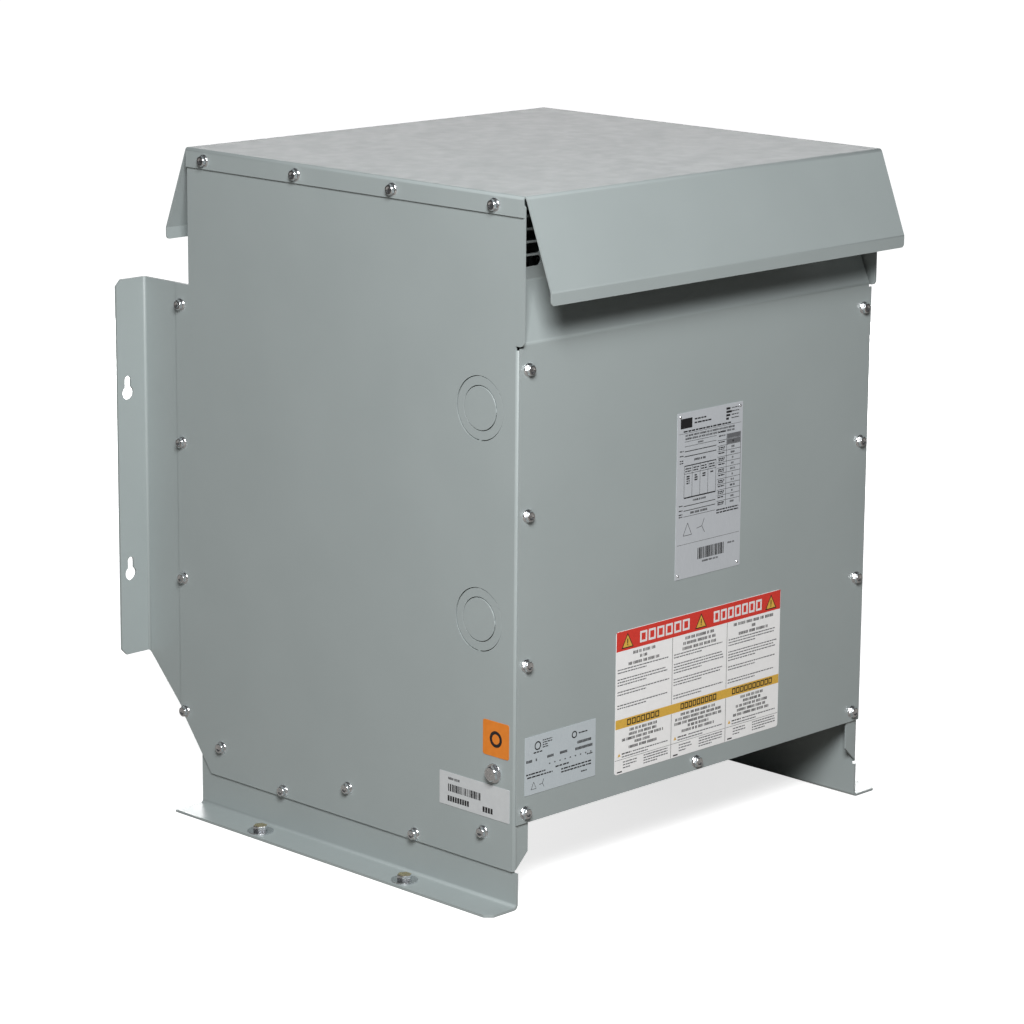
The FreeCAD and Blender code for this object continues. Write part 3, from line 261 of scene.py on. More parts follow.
yellow_ink = ink("yellow ink", (0.76, 0.46, 0.07))
white_ink = ink("white ink", (0.84, 0.84, 0.84))
print("label stock: 5, inks: 5")

# %% [markdown]
# ## The core and the coils
#
# Behind the vents stands an iron core of thin steel sheets, stacked from front to back, so its faces show
# fine lines. The coils are wound in layers and dipped in amber varnish. Their turns are ridges one above
# the other. Stripes from a wave node follow both.

# %% Core steel and varnished coils
def core_sheets():
    steel = finish("core sheets", (0.11, 0.115, 0.125), 0.45, 0.7)
    edges = bands(steel, "Y", 1.4, 0.4)
    colour_by(steel, between(steel, edges, (0.055, 0.058, 0.065), (0.19, 0.20, 0.21)))
    roughen(steel, cloud(steel, 6, 3), 0.36, 0.55)
    raise_by(steel, edges, 0.05)
    return steel


def wound_coil(name, light, dark, turn_mm, roughness):
    coil = finish(name, light, roughness)
    turns = bands(coil, "Z", turn_mm, 0.25)
    drips = spread(coil, cloud(coil, 22, 3, (1, 1, 0.35)), 0, 1)
    base = between(coil, drips, dark, light)
    colour_by(coil, between(coil, spread(coil, turns, 0, 0.75, 0, 0.45), tuple(0.45 * c for c in dark), base))
    roughen(coil, cloud(coil, 8, 2), roughness - 0.1, roughness + 0.1)
    raise_by(coil, turns, 0.5)
    shader_of(coil).inputs["Coat Weight"].default_value = 0.5
    shader_of(coil).inputs["Coat Roughness"].default_value = 0.2
    return coil


core_steel = core_sheets()
coil_varnish = wound_coil("varnished outer coil", (0.20, 0.095, 0.032), (0.115, 0.05, 0.018), 3.2, 0.35)
coil_paper = wound_coil("papered inner coil", (0.42, 0.30, 0.16), (0.30, 0.20, 0.10), 5.0, 0.6)
print("core and coils:", core_steel.name, coil_varnish.name, coil_paper.name)

# %% [markdown]
# ## Boards, pads, copper and sleeving
#
# The smaller parts inside are glass board, rubber pads, copper bars and braided sleeving. Each has one
# mark of its own: speckled fibres in the board, pits in the rubber, oxide patches on the copper and a
# diagonal braid on the sleeve, which is two sets of bands crossed.

# %% Glass board, rubber, copper and sleeve
def glass_board():
    board = finish("red glass board", (0.30, 0.055, 0.035), 0.5)
    fibres = spread(board, cloud(board, 1.2, 4, (1, 1, 5)), 0, 1)
    colour_by(board, between(board, fibres, (0.22, 0.04, 0.028), (0.36, 0.075, 0.048)))
    roughen(board, cloud(board, 7, 2), 0.42, 0.6)
    raise_by(board, fibres, 0.02)
    return board


def pad_rubber():
    rubber = finish("pad rubber", (0.022, 0.022, 0.023), 0.8)
    pits = cloud(rubber, 0.9, 4)
    depth = spread(rubber, pits, 0, 1)
    colour_by(rubber, between(rubber, depth, (0.014, 0.014, 0.015), (0.035, 0.035, 0.036)))
    roughen(rubber, pits, 0.7, 0.9)
    raise_by(rubber, pits, 0.06)
    return rubber


def bar_copper():
    copper = finish("bar copper", (0.86, 0.42, 0.26), 0.3, 1.0)
    oxide = spread(copper, cloud(copper, 12, 4), 0, 1)
    colour_by(copper, between(copper, oxide, (0.48, 0.22, 0.13), (0.88, 0.45, 0.29)))
    roughen(copper, cloud(copper, 5, 3), 0.22, 0.42)
    raise_by(copper, cloud(copper, 0.5, 2, (1, 8, 8)), 0.006)
    return copper


def braided_sleeve():
    sleeve = finish("braided sleeve", (0.66, 0.60, 0.44), 0.7)
    one, other = bands(sleeve, "DIAGONAL", 1.3), bands(sleeve, "Z", 1.3)
    braid = between(sleeve, one, (0.42, 0.37, 0.26), (0.74, 0.68, 0.51))
    colour_by(sleeve, between(sleeve, spread(sleeve, other, 0, 0.6), braid, (0.56, 0.50, 0.36)))
    roughen(sleeve, cloud(sleeve, 3, 2), 0.6, 0.8)
    raise_by(sleeve, one, 0.08)
    return sleeve


board_red, rubber, copper, sleeve = glass_board(), pad_rubber(), bar_copper(), braided_sleeve()
print("inside parts:", board_red.name, rubber.name, copper.name, sleeve.name)

# %% [markdown]
# ## Put the finishes on
#
# Each solid came in with a placeholder material named after its slot in the record, so one table maps a
# slot to a finish. Real sheet metal has no knife edges. The paint rounds them, and the rounded edge
# catches a thin line of light. A bevel could be cut into the mesh, but a modifier leaves the solid as it
# is. The solids are loose triangles, so they are welded and their flat faces merged before the bevel.

# %% Finishes by slot, and rounded edges
FINISHES = {"case_paint": case_paint, "zinc": zinc, "nameplate_foil": nameplate_film,
            "warning_vinyl": warning_vinyl, "white_vinyl": approval_film, "orange_vinyl": orange_vinyl,
            "core_steel": core_steel, "clamp_paint": clamp_paint, "winding_paper": coil_paper,
            "winding_varnish": coil_varnish, "glass_board": board_red, "pad_rubber": rubber,
            "bus_copper": copper, "sleeve": sleeve}
EDGE_RADIUS = {"case_paint": 0.35, "clamp_paint": 0.4, "zinc": 0.25, "core_steel": 0.3,
               "glass_board": 0.3, "bus_copper": 0.3}


def round_edges(piece, radius_mm):
    """Welds the loose triangles, merges flat faces, then rounds every edge sharper than 35 degrees."""
    weld = piece.modifiers.new("weld", "WELD")
    weld.merge_threshold = 0.01 * MM
    flat = piece.modifiers.new("merge flat faces", "DECIMATE")
    flat.decimate_type = "DISSOLVE"
    flat.angle_limit = math.radians(0.5)
    bevel = piece.modifiers.new("round edges", "BEVEL")
    bevel.width = radius_mm * MM
    bevel.segments = 2
    bevel.limit_method = "ANGLE"
    bevel.angle_limit = math.radians(35)
    bevel.harden_normals = True


for name, piece in frame["nodes"].items():
    slot = piece.data.materials[0].name
    piece.data.materials[0] = FINISHES[slot]
    if slot in EDGE_RADIUS:
        round_edges(piece, EDGE_RADIUS[slot])
frame["nodes"]["serial_label"].data.materials[0] = serial_vinyl
print("rounded edges on", sum(1 for p in frame["nodes"].values() if p.modifiers), "pieces")

# %% [markdown]
# ## A helper for new pieces
#
# The labels' printing and the floor bolts aren't among the solids, so they are built here. Each is
# shaped in a bmesh first. One helper turns that into an object, makes its faces point outwards and
# says which body it moves with.

# %% Make a piece from a bmesh
def edges_of(verts):
    """Every edge that ends at one of these corners, listed once."""
    return list(dict.fromkeys(edge for vert in verts for edge in vert.link_edges))


def new_piece(name, mesh, material, body):
    bmesh.ops.recalc_face_normals(mesh, faces=mesh.faces)
    data = bpy.data.meshes.new(name)
    mesh.to_mesh(data)
    mesh.free()
    data.materials.append(material)
    piece = bpy.data.objects.new(name, data)
    bpy.context.scene.collection.objects.link(piece)
    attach(piece, body)
    print(name, len(data.polygons), "faces")
    return piece


print("ready to make new pieces")

# %% [markdown]
# ## Printing on the labels
#
# Printing lies on top of a label, so each ink is a separate piece a few hundredths of a millimetre
# thick. A decal image could do this, but real marks stay crisp at any distance. A label has its own
# flat coordinates: u runs across and v runs down from its top left corner, in millimetres, as it is
# read. One matrix takes those to the face of the label. The wording is generic: rows of dashes and
# blocks stand for lines of type, and no letters are drawn.

# %% A sheet of printing
LAYER = 0.05                 # thickness of one layer of ink, in millimetres
INSET = 0.02                 # how far its back is sunk into the layer below
dice = random.Random(7)


class Printing:
    """Marks of one ink on one label."""

    def __init__(self, label, side, layer=0):
        low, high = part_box(label)
        if side == "front":
            corner, across, out = Vector((low.x, low.y, high.z)), Vector((1, 0, 0)), Vector((0, -1, 0))
        else:
            corner, across, out = Vector((low.x, high.y, high.z)), Vector((0, -1, 0)), Vector((-1, 0, 0))
        axes = Matrix((across, Vector((0, 0, 1)), out)).transposed().to_4x4()
        self.sheet = Matrix.Translation(corner) @ axes @ Matrix.Scale(MM, 4)
        self.lift = layer * LAYER - INSET
        self.deep = LAYER + INSET
        self.mesh = bmesh.new()

    def at(self, u, v, turn=0.0):
        """The place on the label of a mark centred on (u, v), turned anticlockwise by degrees."""
        middle = Matrix.Translation((u, -v, self.lift + self.deep / 2))
        return self.sheet @ middle @ Matrix.Rotation(math.radians(turn), 4, "Z")

    def block(self, u0, v0, u1, v1):
        size = Matrix.Diagonal((u1 - u0, v1 - v0, self.deep, 1))
        bmesh.ops.create_cube(self.mesh, size=1, matrix=self.at((u0 + u1) / 2, (v0 + v1) / 2) @ size)

    def stroke(self, start, end, width):
        """A straight line between two points."""
        run = Vector(end) - Vector(start)
        middle = (Vector(start) + Vector(end)) / 2
        size = Matrix.Diagonal((run.length, width, self.deep, 1))
        turn = -math.degrees(math.atan2(run.y, run.x))
        bmesh.ops.create_cube(self.mesh, size=1, matrix=self.at(middle.x, middle.y, turn) @ size)

    def triangle(self, u, v, height):
        """A solid triangle that stands on its base, with v at the middle of its height."""
        radius = height * 2 / 3
        bmesh.ops.create_cone(self.mesh, cap_ends=True, segments=3, radius1=radius, radius2=radius,
                              depth=self.deep, matrix=self.at(u, v + height / 6))

    def ring(self, u, v, outer, inner):
        """A flat ring: two circles bridged, then given their thickness."""
        circles = []
        for radius in (outer, inner):
            made = bmesh.ops.create_circle(self.mesh, segments=40, radius=radius, matrix=self.at(u, v))
            circles += edges_of(made["verts"])
        faces = bmesh.ops.bridge_loops(self.mesh, edges=circles)["faces"]
        raised = bmesh.ops.extrude_face_region(self.mesh, geom=faces)["geom"]
        verts = [part for part in raised if isinstance(part, bmesh.types.BMVert)]
        out = self.sheet.to_3x3() @ Vector((0, 0, self.deep / 2))
        bmesh.ops.translate(self.mesh, verts=verts, vec=out)

    def finish(self, name, print_ink, body, slot):
        return new_piece(name, self.mesh, print_ink, body)

# %% Marks that stand for type
BOLD = 1.7                   # type at least this tall is drawn character by character


def row(sheet, u0, u1, v, height):
    """Words of uneven length: dashes for small type, a block for each character of bold type."""
    u, step = u0, height * 0.62
    while u < u1 - height / 2:
        if height < BOLD:
            end = min(u + height * dice.uniform(1.4, 4.2), u1)
            sheet.block(u, v - height / 2, end, v + height / 2)
            u = end + height * dice.uniform(0.45, 0.8)
            continue
        for _ in range(dice.randint(2, 8)):
            if u + step <= u1 + 0.1:
                sheet.block(u, v - height / 2, u + step * dice.uniform(0.5, 0.78), v + height / 2)
            u += step
        u += step * 0.8


def centred_row(sheet, middle, width, v, height):
    row(sheet, middle - width / 2, middle + width / 2, v, height)


def paragraph(sheet, u0, u1, v, lines, pitch, height):
    """Rows of which the last stops short."""
    for i in range(lines):
        end = u1 - (u1 - u0) * (0.45 if i == lines - 1 else dice.uniform(0.0, 0.08))
        row(sheet, u0, end, v + i * pitch, height)


def figures(sheet, u0, u1, v, height):
    """Upright blocks, as wide as bold figures."""
    count = max(2, round((u1 - u0) / (0.62 * height)))
    step = (u1 - u0) / count
    for i in range(count):
        sheet.block(u0 + i * step, v - height / 2, u0 + (i + 0.74) * step, v + height / 2)


def open_blocks(sheet, u0, u1, v, height, count):
    """Hollow blocks, as wide as tall heavy letters: the usual placeholder for a character."""
    step, stroke = (u1 - u0) / count, height * 0.19
    for i in range(count):
        left, right = u0 + i * step, u0 + (i + 0.82) * step
        top, bottom = v - height / 2, v + height / 2
        sheet.block(left, top, right, top + stroke)
        sheet.block(left, bottom - stroke, right, bottom)
        sheet.block(left, top + stroke, left + stroke, bottom - stroke)
        sheet.block(right - stroke, top + stroke, right, bottom - stroke)


def bar_code(sheet, u0, u1, v0, v1, narrow):
    """Bars and gaps of one to three widths, drawn at random, so they encode nothing."""
    u = u0
    while u < u1 - narrow:
        end = min(u + narrow * dice.choice((1, 1, 2, 3)), u1)
        sheet.block(u, v0, end, v1)
        u = end + narrow * dice.choice((1, 1, 2))


def winding_signs(sheet, u, v, size, line):
    """A triangle and a star of thin lines: the usual signs for the two kinds of connection."""
    top, left, right = (u + size / 2, v), (u, v + size), (u + size, v + size)
    for start, end in ((top, left), (left, right), (right, top)):
        sheet.stroke(start, end, line)
    hub = (u + 2.2 * size, v + size / 2)
    for end in ((hub[0] - size * 0.6, hub[1] + size * 0.1), (hub[0] + size * 0.3, hub[1] - size * 0.6),
                (hub[0] + size * 0.35, hub[1] + size * 0.55)):
        sheet.stroke(hub, end, line)

# %% [markdown]
# ## The warning label
#
# The large label has a red head, a yellow band and three columns, one for each language. The colours
# and the layout are common to such labels. Each colour is a layer: red and yellow on the vinyl, white
# or black above them.

# %% Warning label: coloured bands and the signs on them
def hazard_sign(under, over, mark, u, v, height):
    under.triangle(u, v, height)
    over.triangle(u, v + height * 0.03, height * 0.80)
    mark.block(u - height * 0.045, v - height * 0.12, u + height * 0.045, v + height * 0.2)
    mark.block(u - height * 0.045, v + height * 0.25, u + height * 0.045, v + height * 0.33)


head = Printing("warning_label", "front")
head.block(0.3, 0.3, 245.7, 20.2)
head.finish("warning_head_red", red_ink, "front_cover", "warning_vinyl")

band = Printing("warning_label", "front")
band.block(0.3, 89.5, 245.7, 99.0)
sign_black = Printing("warning_label", "front", 1)
sign_yellow = Printing("warning_label", "front", 2)
sign_mark = Printing("warning_label", "front", 3)
for u in (16.0, 124.0, 231.0):
    hazard_sign(sign_black, sign_yellow, sign_mark, u, 10.6, 15.0)
band.finish("warning_band_yellow", yellow_ink, "front_cover", "warning_vinyl")
sign_black.finish("warning_sign_edges", black_ink, "front_cover", "warning_vinyl")
sign_yellow.finish("warning_sign_faces", yellow_ink, "front_cover", "warning_vinyl")
sign_mark.finish("warning_sign_marks", black_ink, "front_cover", "warning_vinyl")

# %% Warning label: the heading blocks
heading = Printing("warning_label", "front", 1)
open_blocks(heading, 34.0, 109.0, 10.6, 11.5, 6)
open_blocks(heading, 143.0, 218.5, 10.6, 11.5, 7)
heading.finish("warning_heading_blocks", white_ink, "front_cover", "warning_vinyl")

# %% Warning label: three columns of type
COLUMN = 246.0 / 3
bold = Printing("warning_label", "front")
fine = Printing("warning_label", "front")
on_band = Printing("warning_label", "front", 1)
small_signs = Printing("warning_label", "front", 1)
for i, (title_widths, body_lines, (band_width, letters), notice_widths) in enumerate((
        ((33, 13, 46), (2, 3, 2, 0, 2), (48, 7), (40, 42, 62, 25, 42)),
        ((44, 50, 52), (2, 4, 3, 0, 2), (55, 9), (54, 70, 72, 32, 50)),
        ((62, 6, 46), (3, 4, 2, 0, 2), (63, 10), (36, 28, 50, 46, 58)))):
    left, middle = i * COLUMN, (i + 0.5) * COLUMN
    for k, width in enumerate(title_widths):
        centred_row(bold, middle, width, 24.5 + 5.2 * k, 3.0)
    v = 39.0
    for lines in body_lines:
        paragraph(fine, left + 2.5, left + COLUMN - 4, v, lines, 2.9, 1.1)
        v += 2.9 * lines + 4.0
    open_blocks(on_band, middle - band_width / 2, middle + band_width / 2, 94.2, 6.4, letters)
    for k, width in enumerate(notice_widths):
        centred_row(bold, middle, width, 102.5 + 4.4 * k, 2.8)
    small_signs.triangle(left + 6.0, 125.6, 3.6)
    row(bold, left + 10, left + 24, 125.4, 1.3)
    row(fine, left + 26, left + COLUMN - 5, 125.4, 1.1)
    row(fine, left + 10, left + 48, 128.4, 1.1)
    paragraph(fine, left + 12, left + 32, 134.0, 3, 2.9, 1.1)
    paragraph(fine, left + 42, left + COLUMN - 4, 133.2, 4, 2.7, 1.1)
    fine.block(left + 0.5, 130.6, left + COLUMN - 0.5, 131.0)
    bold.block(left + 3.5, 142.6, left + 10.5, 144.0)
    for v0, v1 in ((20.6, 89.1), (99.4, 145.0)):
        if i:
            bold.block(left - 0.25, v0, left + 0.25, v1)
bold.finish("warning_bold_rows", black_ink, "front_cover", "warning_vinyl")
fine.finish("warning_fine_rows", grey_ink, "front_cover", "warning_vinyl")
on_band.finish("warning_band_blocks", black_ink, "front_cover", "warning_vinyl")
small_signs.finish("warning_small_signs", yellow_ink, "front_cover", "warning_vinyl")

# %% [markdown]
# ## The nameplate
#
# The nameplate is a form: ruled tables, short entries, a sketch of the winding connection and a bar
# code. Ruled lines and entries make its look, so those are what is drawn. A plain dark block stands
# where a maker would print a mark.

# %% Nameplate
def nameplate_head(sheet):
    sheet.block(4.5, 6.0, 21.5, 16.0)
    row(sheet, 25, 42, 8.2, 1.5)
    row(sheet, 25, 50, 12.0, 1.5)
    for v, end in ((3.6, 78), (7.0, 80), (10.4, 78), (13.8, 76)):
        sheet.block(72.0, v, end, v + 2.2)
        row(sheet, 80, 91, v + 1.0, 0.9)
    row(sheet, 9, 80, 19.2, 1.5)
    sheet.block(2, 20.9, 95, 21.2)
    row(sheet, 12, 86, 23.6, 1.9)
    row(sheet, 12, 86, 26.8, 1.9)


def nameplate_left_table(sheet):
    for v, thick in ((29.6, 0.4), (34.4, 0.4), (39.4, 0.8), (44.4, 0.8), (54.0, 1.0), (62.0, 0.4),
                     (86.2, 1.3), (94.5, 0.7), (99.2, 0.7), (105.2, 0.4)):
        sheet.block(11.0, v - thick / 2, 58.0, v + thick / 2)
    for u in (11.0, 22.7, 34.4, 46.1, 58.0):
        sheet.block(u - 0.2, 54.0, u + 0.2, 86.0)
    for k, u in enumerate((16.8, 28.5, 40.2, 52.0)):
        for v in (57.0, 59.6):
            centred_row(sheet, u, 8.5, v, 1.2)
        for n in range(4 - k):
            centred_row(sheet, u, 4.5, 65.0 + 2.3 * n, 1.4)
    centred_row(sheet, 34.5, 8, 32.2, 1.8)
    centred_row(sheet, 34.5, 18, 49.0, 2.2)
    centred_row(sheet, 34.5, 20, 90.0, 1.9)
    centred_row(sheet, 34.5, 27, 102.2, 2.2)
    for v in (38.6, 43.4, 48.2, 50.6, 93.6, 98.4, 102.4, 104.8):
        row(sheet, 4.0, 9.2, v, 1.1)


def nameplate_right_table(sheet):
    for k in range(12):
        v = 35.5 + 5.6 * k
        sheet.block(60.0, v - 0.2, 94.5, v + 0.2)
        row(sheet, 61.5, 71.0, v + 1.9, 1.2)
        if k % 2:
            row(sheet, 61.5, 70.0, v + 3.7, 1.0)
        centred_row(sheet, 83.5, 3.2 + 2.0 * (k % 3), v + 2.8, 2.0)
    for u in (73.4, 94.5):
        sheet.block(u - 0.2, 30.0, u + 0.2, 102.7)
    for v in (27.0, 31.0):
        row(sheet, 61.5, 71.0, v, 1.2)


def nameplate_foot(sheet):
    row(sheet, 60, 93, 106.0, 1.3)
    row(sheet, 60, 93, 108.8, 1.3)
    winding_signs(sheet, 11, 112, 12.5, 0.5)
    sheet.block(2, 133.0, 95, 133.3)
    bar_code(sheet, 33.0, 72.0, 140.0, 151.6, 0.55)
    row(sheet, 40, 64, 154.4, 1.8)
    row(sheet, 78, 89, 142.0, 1.7)


plate_print = Printing("nameplate", "front")
for part in (nameplate_head, nameplate_left_table, nameplate_right_table, nameplate_foot):
    part(plate_print)
plate_print.finish("nameplate_print", black_ink, "front_cover", "nameplate_foil")
shaded = Printing("nameplate", "front")
for v0, v1 in ((30.3, 35.0), (36.0, 40.7)):
    shaded.block(74.0, v0, 94.0, v1)
shaded.finish("nameplate_shaded_cells", grey_ink, "front_cover", "nameplate_foil")

# %% [markdown]
# ## The approval, serial and ground labels
#
# Three smaller labels sit round the lower front corner. The approval label has two ring marks, which
# stay empty here. The serial label has a bar code between two rows. The orange label beside the ground
# bolt gets a plain ring.

# %% Approval label
approval = Printing("approval_label", "front")
approval.ring(17.2, 10.6, 4.4, 3.1)
approval.ring(68.0, 10.2, 3.7, 2.4)
for v in (6.6, 8.9, 11.2, 13.5):
    row(approval, 24, 37 - (v > 9) * 5, v, 1.0)
row(approval, 11.5, 23.5, 17.0, 1.3)
row(approval, 74, 87, 9.8, 1.2)
for u0, u1 in ((1.5, 10), (14.5, 16.5), (30.5, 39.5), (48, 58.5)):
    figures(approval, u0, u1, 24.4, 2.6)
figures(approval, 72.5, 92, 19.0, 2.8)
figures(approval, 69.5, 94, 25.2, 2.8)
TICK_PITCH, TICK_WIDTH = 7.2, 1.6
for k in range(9):
    left = 33 + TICK_PITCH * k
    approval.block(left, 31.2, left + TICK_WIDTH, 32.4)
row(approval, 1.5, 28, 37.4, 1.4)
row(approval, 42, 62, 36.9, 1.5)
row(approval, 3, 38, 40.6, 1.4)
row(approval, 86, 94, 33.6, 1.2)
row(approval, 50, 92, 41.2, 1.4)
row(approval, 50, 92, 44.2, 1.4)
row(approval, 78, 86, 49.5, 1.3)
winding_signs(approval, 8.5, 46, 7.0, 0.45)
approval.finish("approval_print", black_ink, "front_cover", "white_vinyl")

# %% Serial label and ground label
serial = Printing("serial_label", "left")
row(serial, 12.0, 29.0, 6.0, 2.4)
bar_code(serial, 12.0, 57.4, 11.5, 19.0, 0.6)
figures(serial, 11.5, 41.5, 26.3, 5.6)
figures(serial, 59.5, 74.0, 26.5, 5.6)
serial.finish("serial_print", black_ink, "case", "white_vinyl")

ground_mark = Printing("ground_label", "left")
ground_mark.ring(17.5, 17.5, 8.2, 5.0)
ground_mark.finish("ground_mark", black_ink, "case", "orange_vinyl")

# %% [markdown]
# ## Floor bolts
#
# Four bolts with wide washers hold the foot rails down. The solids leave those holes open for
# mounting. A plain cylinder would read as a peg, so each bolt is a six-sided head with a chamfered
# top over a washer face, on a ring-shaped washer, with its shank in the rail's hole. The tops keep the
# yellow of their passivation.

# %% One bolt and its washer
FLANGE_TOP = 2.7 * MM        # top of the foot rail's flange above the floor
floor_holes = next(m for m in frame["record"]["mounts"] if m["name"] == "floor_holes")["dims"]
BOLT_X, BOLT_Y = floor_holes["spacing_x_mm"] / 2 * MM, floor_holes["spacing_y_mm"] / 2 * MM
WASHER_R, WASHER_HOLE_R, WASHER_T = 13.5 * MM, 5.0 * MM, 1.6 * MM
HEAD_ACROSS_FLATS, HEAD_HEIGHT = 13.0 * MM, 5.3 * MM
HEAD_CHAMFER, WASHER_CHAMFER = 0.9 * MM, 0.25 * MM
WASHER_FACE_R, WASHER_FACE_T = HEAD_ACROSS_FLATS * 0.47, 0.3 * MM
SUNK = 0.1 * MM              # how far the washer face reaches into the head
SHANK_R, SHANK_BOTTOM = 3.9 * MM, 0.2 * MM
print("bolts at", round(BOLT_X / MM, 1), round(BOLT_Y / MM, 1), "mm from the middle")


def flat_washer(mesh, centre, outer, inner, thickness):
    """A ring with its rims bevelled."""
    circles, place_at = [], Matrix.Translation(centre)
    for radius in (outer, inner):
        made = bmesh.ops.create_circle(mesh, segments=48, radius=radius, matrix=place_at)
        circles += edges_of(made["verts"])
    faces = bmesh.ops.bridge_loops(mesh, edges=circles)["faces"]
    raised = bmesh.ops.extrude_face_region(mesh, geom=faces)["geom"]
    bmesh.ops.translate(mesh, verts=[g for g in raised if isinstance(g, bmesh.types.BMVert)],
                        vec=(0, 0, thickness))
    rims = [g for g in raised if isinstance(g, bmesh.types.BMEdge) and g.is_manifold
            and abs(g.calc_face_angle(0)) > 1.0]
    bmesh.ops.bevel(mesh, geom=rims, offset=WASHER_CHAMFER, offset_type="OFFSET", segments=2, profile=0.5,
                    affect="EDGES", material=-1)


def hex_head(mesh, centre, across, height):
    """A six-sided head, chamfered round its top."""
    radius = across / 2 / math.cos(math.radians(30))
    made = bmesh.ops.create_cone(mesh, cap_ends=True, segments=6, radius1=radius, radius2=radius,
                                 depth=height, matrix=Matrix.Translation(centre + Vector((0, 0, height / 2))))
    top = max(vert.co.z for vert in made["verts"])
    rim = [edge for edge in edges_of(made["verts"])
           if all(abs(vert.co.z - top) < 1e-6 for vert in edge.verts)]
    bmesh.ops.bevel(mesh, geom=rim, offset=HEAD_CHAMFER, offset_type="OFFSET", segments=2, profile=0.5,
                    affect="EDGES", material=-1)


def round_bar(mesh, centre, radius, height):
    bmesh.ops.create_cone(mesh, cap_ends=True, segments=32, radius1=radius, radius2=radius,
                          depth=height, matrix=Matrix.Translation(centre + Vector((0, 0, height / 2))))

# %% Four of them
washers, heads = bmesh.new(), bmesh.new()
for x in (-BOLT_X, BOLT_X):
    for y in (-BOLT_Y, BOLT_Y):
        foot = Vector((x, y, FLANGE_TOP))
        flat_washer(washers, foot, WASHER_R, WASHER_HOLE_R, WASHER_T)
        seat = foot + Vector((0, 0, WASHER_T))
        hex_head(heads, seat + Vector((0, 0, WASHER_FACE_T)), HEAD_ACROSS_FLATS, HEAD_HEIGHT)
        round_bar(heads, seat, WASHER_FACE_R, WASHER_FACE_T + SUNK)
        round_bar(heads, Vector((x, y, SHANK_BOTTOM)), SHANK_R, FLANGE_TOP + WASHER_T)
new_piece("floor_washers", washers, zinc, "case")
bolts = new_piece("floor_bolts", heads, zinc, "case")
bolts.data.materials.append(yellow_zinc)
head_top = FLANGE_TOP + WASHER_T + HEAD_HEIGHT
for face in bolts.data.polygons:
    if face.normal.z > 0.9 and face.center.z > head_top:
        face.material_index = 1
print("yellow tops:", sum(face.material_index for face in bolts.data.polygons))

# %% [markdown]
# ## Floor, light and camera
#
# A catalogue view: a pale floor that runs far past the frame, one soft light high on the front left,
# one behind on the right that the top cover mirrors, and little fill, so the far faces fall off. A third
# light, also behind on the right, stays lower than the top cover. It reaches only the right and rear
# faces, which would otherwise be nearly black and look like a different paint.
# A small light would give hard shadows and hot spots on the satin paint. The camera sees the floor as
# glowing paper, which keeps it pale, but every other ray sees a dim floor: a white one would throw so
# much light upwards that the shade under the hoods would go. The Standard view keeps each tone as the
# shaders give it, where the default view would fade the colours of the labels.

# %% The floor
def pale_floor():
    paper = finish("studio floor", (0.90, 0.90, 0.90), 0.9)
    mottle = spread(paper, cloud(paper, 400, 3), 0, 1)
    colour_by(paper, between(paper, mottle, (0.89, 0.89, 0.89), (0.91, 0.91, 0.91)))
    shader_of(paper).inputs["Emission Color"].default_value = (1, 1, 1, 1)
    far = add(paper, "VectorMath")
    far.operation = "LENGTH"
    wire(paper, place(paper, (1, 1, 1)), far.inputs[0])
    glow = spread(paper, far.outputs["Value"], 0.72, 1.0, 1.2, 3.5)
    wire(paper, glow, shader_of(paper).inputs["Emission Strength"])
    bounce = add(paper, "BsdfDiffuse", Color=(0.31, 0.29, 0.27, 1))
    seen, pick = add(paper, "LightPath"), add(paper, "MixShader")
    wire(paper, seen.outputs["Is Camera Ray"], pick.inputs["Fac"])
    wire(paper, bounce.outputs["BSDF"], pick.inputs[1])
    wire(paper, shader_of(paper).outputs["BSDF"], pick.inputs[2])
    wire(paper, pick.outputs["Shader"], paper.node_tree.nodes["Material Output"].inputs["Surface"])
    return paper


FLOOR_RADIUS = 40
FLOOR_DROP = 0.5 * MM        # keeps the floor's face apart from the undersides of the feet
ground = bmesh.new()
bmesh.ops.create_circle(ground, cap_ends=True, segments=96, radius=FLOOR_RADIUS)
floor_data = bpy.data.meshes.new("floor")
ground.to_mesh(floor_data)
ground.free()
floor_data.materials.append(pale_floor())
floor = bpy.data.objects.new("floor", floor_data)
bpy.context.scene.collection.objects.link(floor)
floor.location.z = -FLOOR_DROP
floor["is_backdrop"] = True
print("floor radius", FLOOR_RADIUS, "m")

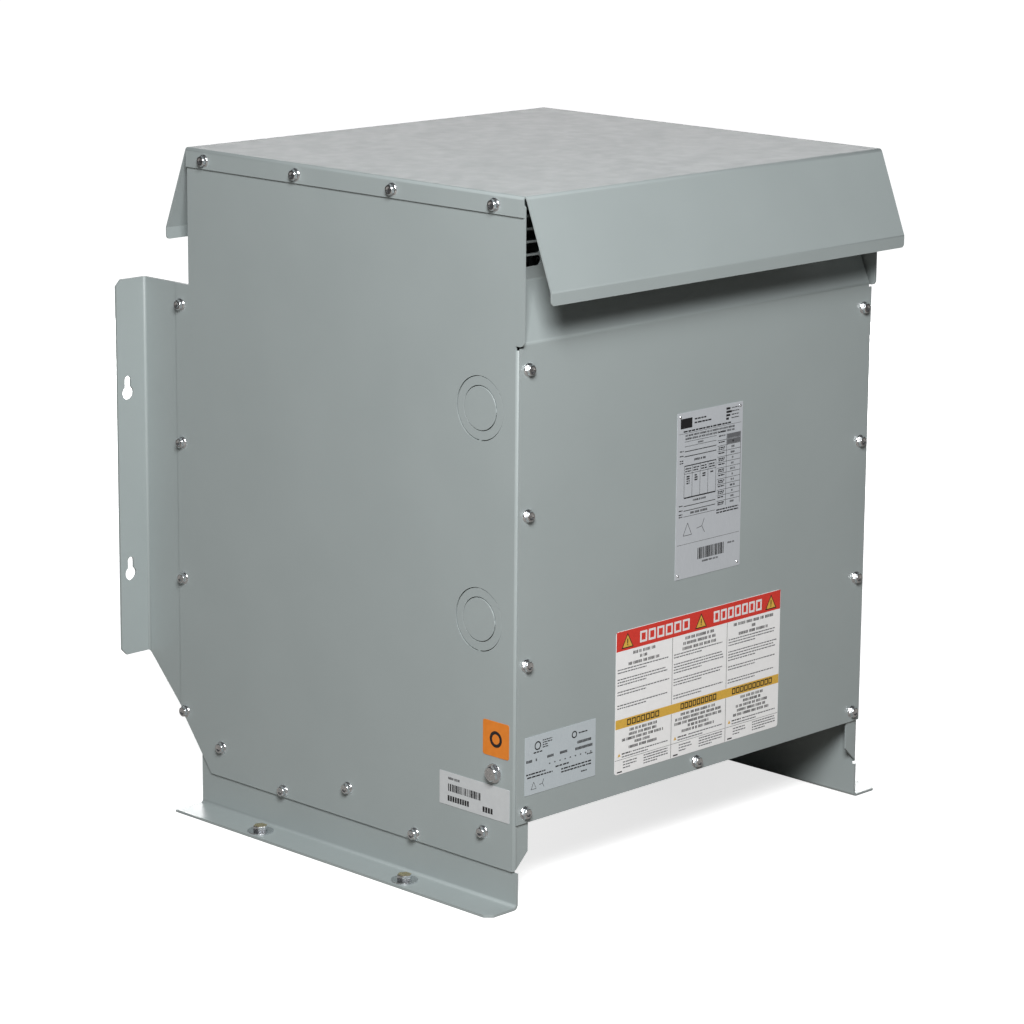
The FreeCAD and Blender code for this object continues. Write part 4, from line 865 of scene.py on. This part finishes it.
# %% The lights
def softbox(name, place_at, aim, width, height, power, colour=(1, 1, 1)):
    lamp = bpy.data.lights.new(name, "AREA")
    lamp.shape = "RECTANGLE"
    lamp.size, lamp.size_y, lamp.energy, lamp.color = width, height, power, colour
    holder = bpy.data.objects.new(name, lamp)
    bpy.context.scene.collection.objects.link(holder)
    holder.location = place_at
    holder.visible_camera = False
    holder.rotation_mode = "QUATERNION"
    holder.rotation_quaternion = (Vector(aim) - Vector(place_at)).to_track_quat("-Z", "Y")
    print(name, power, "W")


softbox("key softbox", place_at=(-1.85, -1.82, 2.12), aim=(-0.1, -0.1, 0.35),
        width=0.95, height=0.95, power=116)
softbox("backdrop softbox", place_at=(2.3, 2.3, 1.15), aim=(0, 0, 0.5),
        width=2.6, height=1.3, power=16, colour=(1.0, 0.965, 0.97))
softbox("rear fill", place_at=(2.05, 2.05, 0.36), aim=(0, 0, 0.36), width=2.4, height=0.5, power=78)

world = bpy.data.worlds.new("studio")
world.use_nodes = True
world.node_tree.nodes["Background"].inputs["Color"].default_value = (0.95, 0.97, 1.0, 1)
world.node_tree.nodes["Background"].inputs["Strength"].default_value = 0.07
bpy.context.scene.world = world
bpy.context.scene.view_settings.view_transform = "Standard"

# %% The camera
AZIMUTH, ELEVATION, ROLL = math.radians(-45.70), math.radians(12.82), math.radians(0.5)
DISTANCE = 3.656
TARGET = Vector((-0.0149, -0.0050, 0.3398))

back = Vector((math.sin(AZIMUTH) * math.cos(ELEVATION), -math.cos(AZIMUTH) * math.cos(ELEVATION),
               math.sin(ELEVATION)))
lens = bpy.data.cameras.new("camera")
lens.lens, lens.sensor_width = 124.4, 36
lens.shift_x, lens.shift_y = -0.0098, -0.023
lens.clip_end = 200
camera = bpy.data.objects.new("camera", lens)
bpy.context.scene.collection.objects.link(camera)
camera.location = TARGET + back * DISTANCE
camera.rotation_mode = "QUATERNION"
camera.rotation_quaternion = (-back).to_track_quat("-Z", "Y") @ Quaternion((0, 0, 1), ROLL)
bpy.context.scene.camera = camera
print("camera at", [round(c, 3) for c in camera.location])

# %% [markdown]
# ## Check the size and finish
#
# The box of the solids and the box of the finished model are both measured, and how much the finished
# model has grown is printed.

# %% Sizes before and after
bpy.context.view_layer.update()
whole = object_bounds()
growth = (whole[1] - whole[0]) - (cad_box[1] - cad_box[0])
print("grown by", [round(side / MM, 2) for side in growth], "mm")
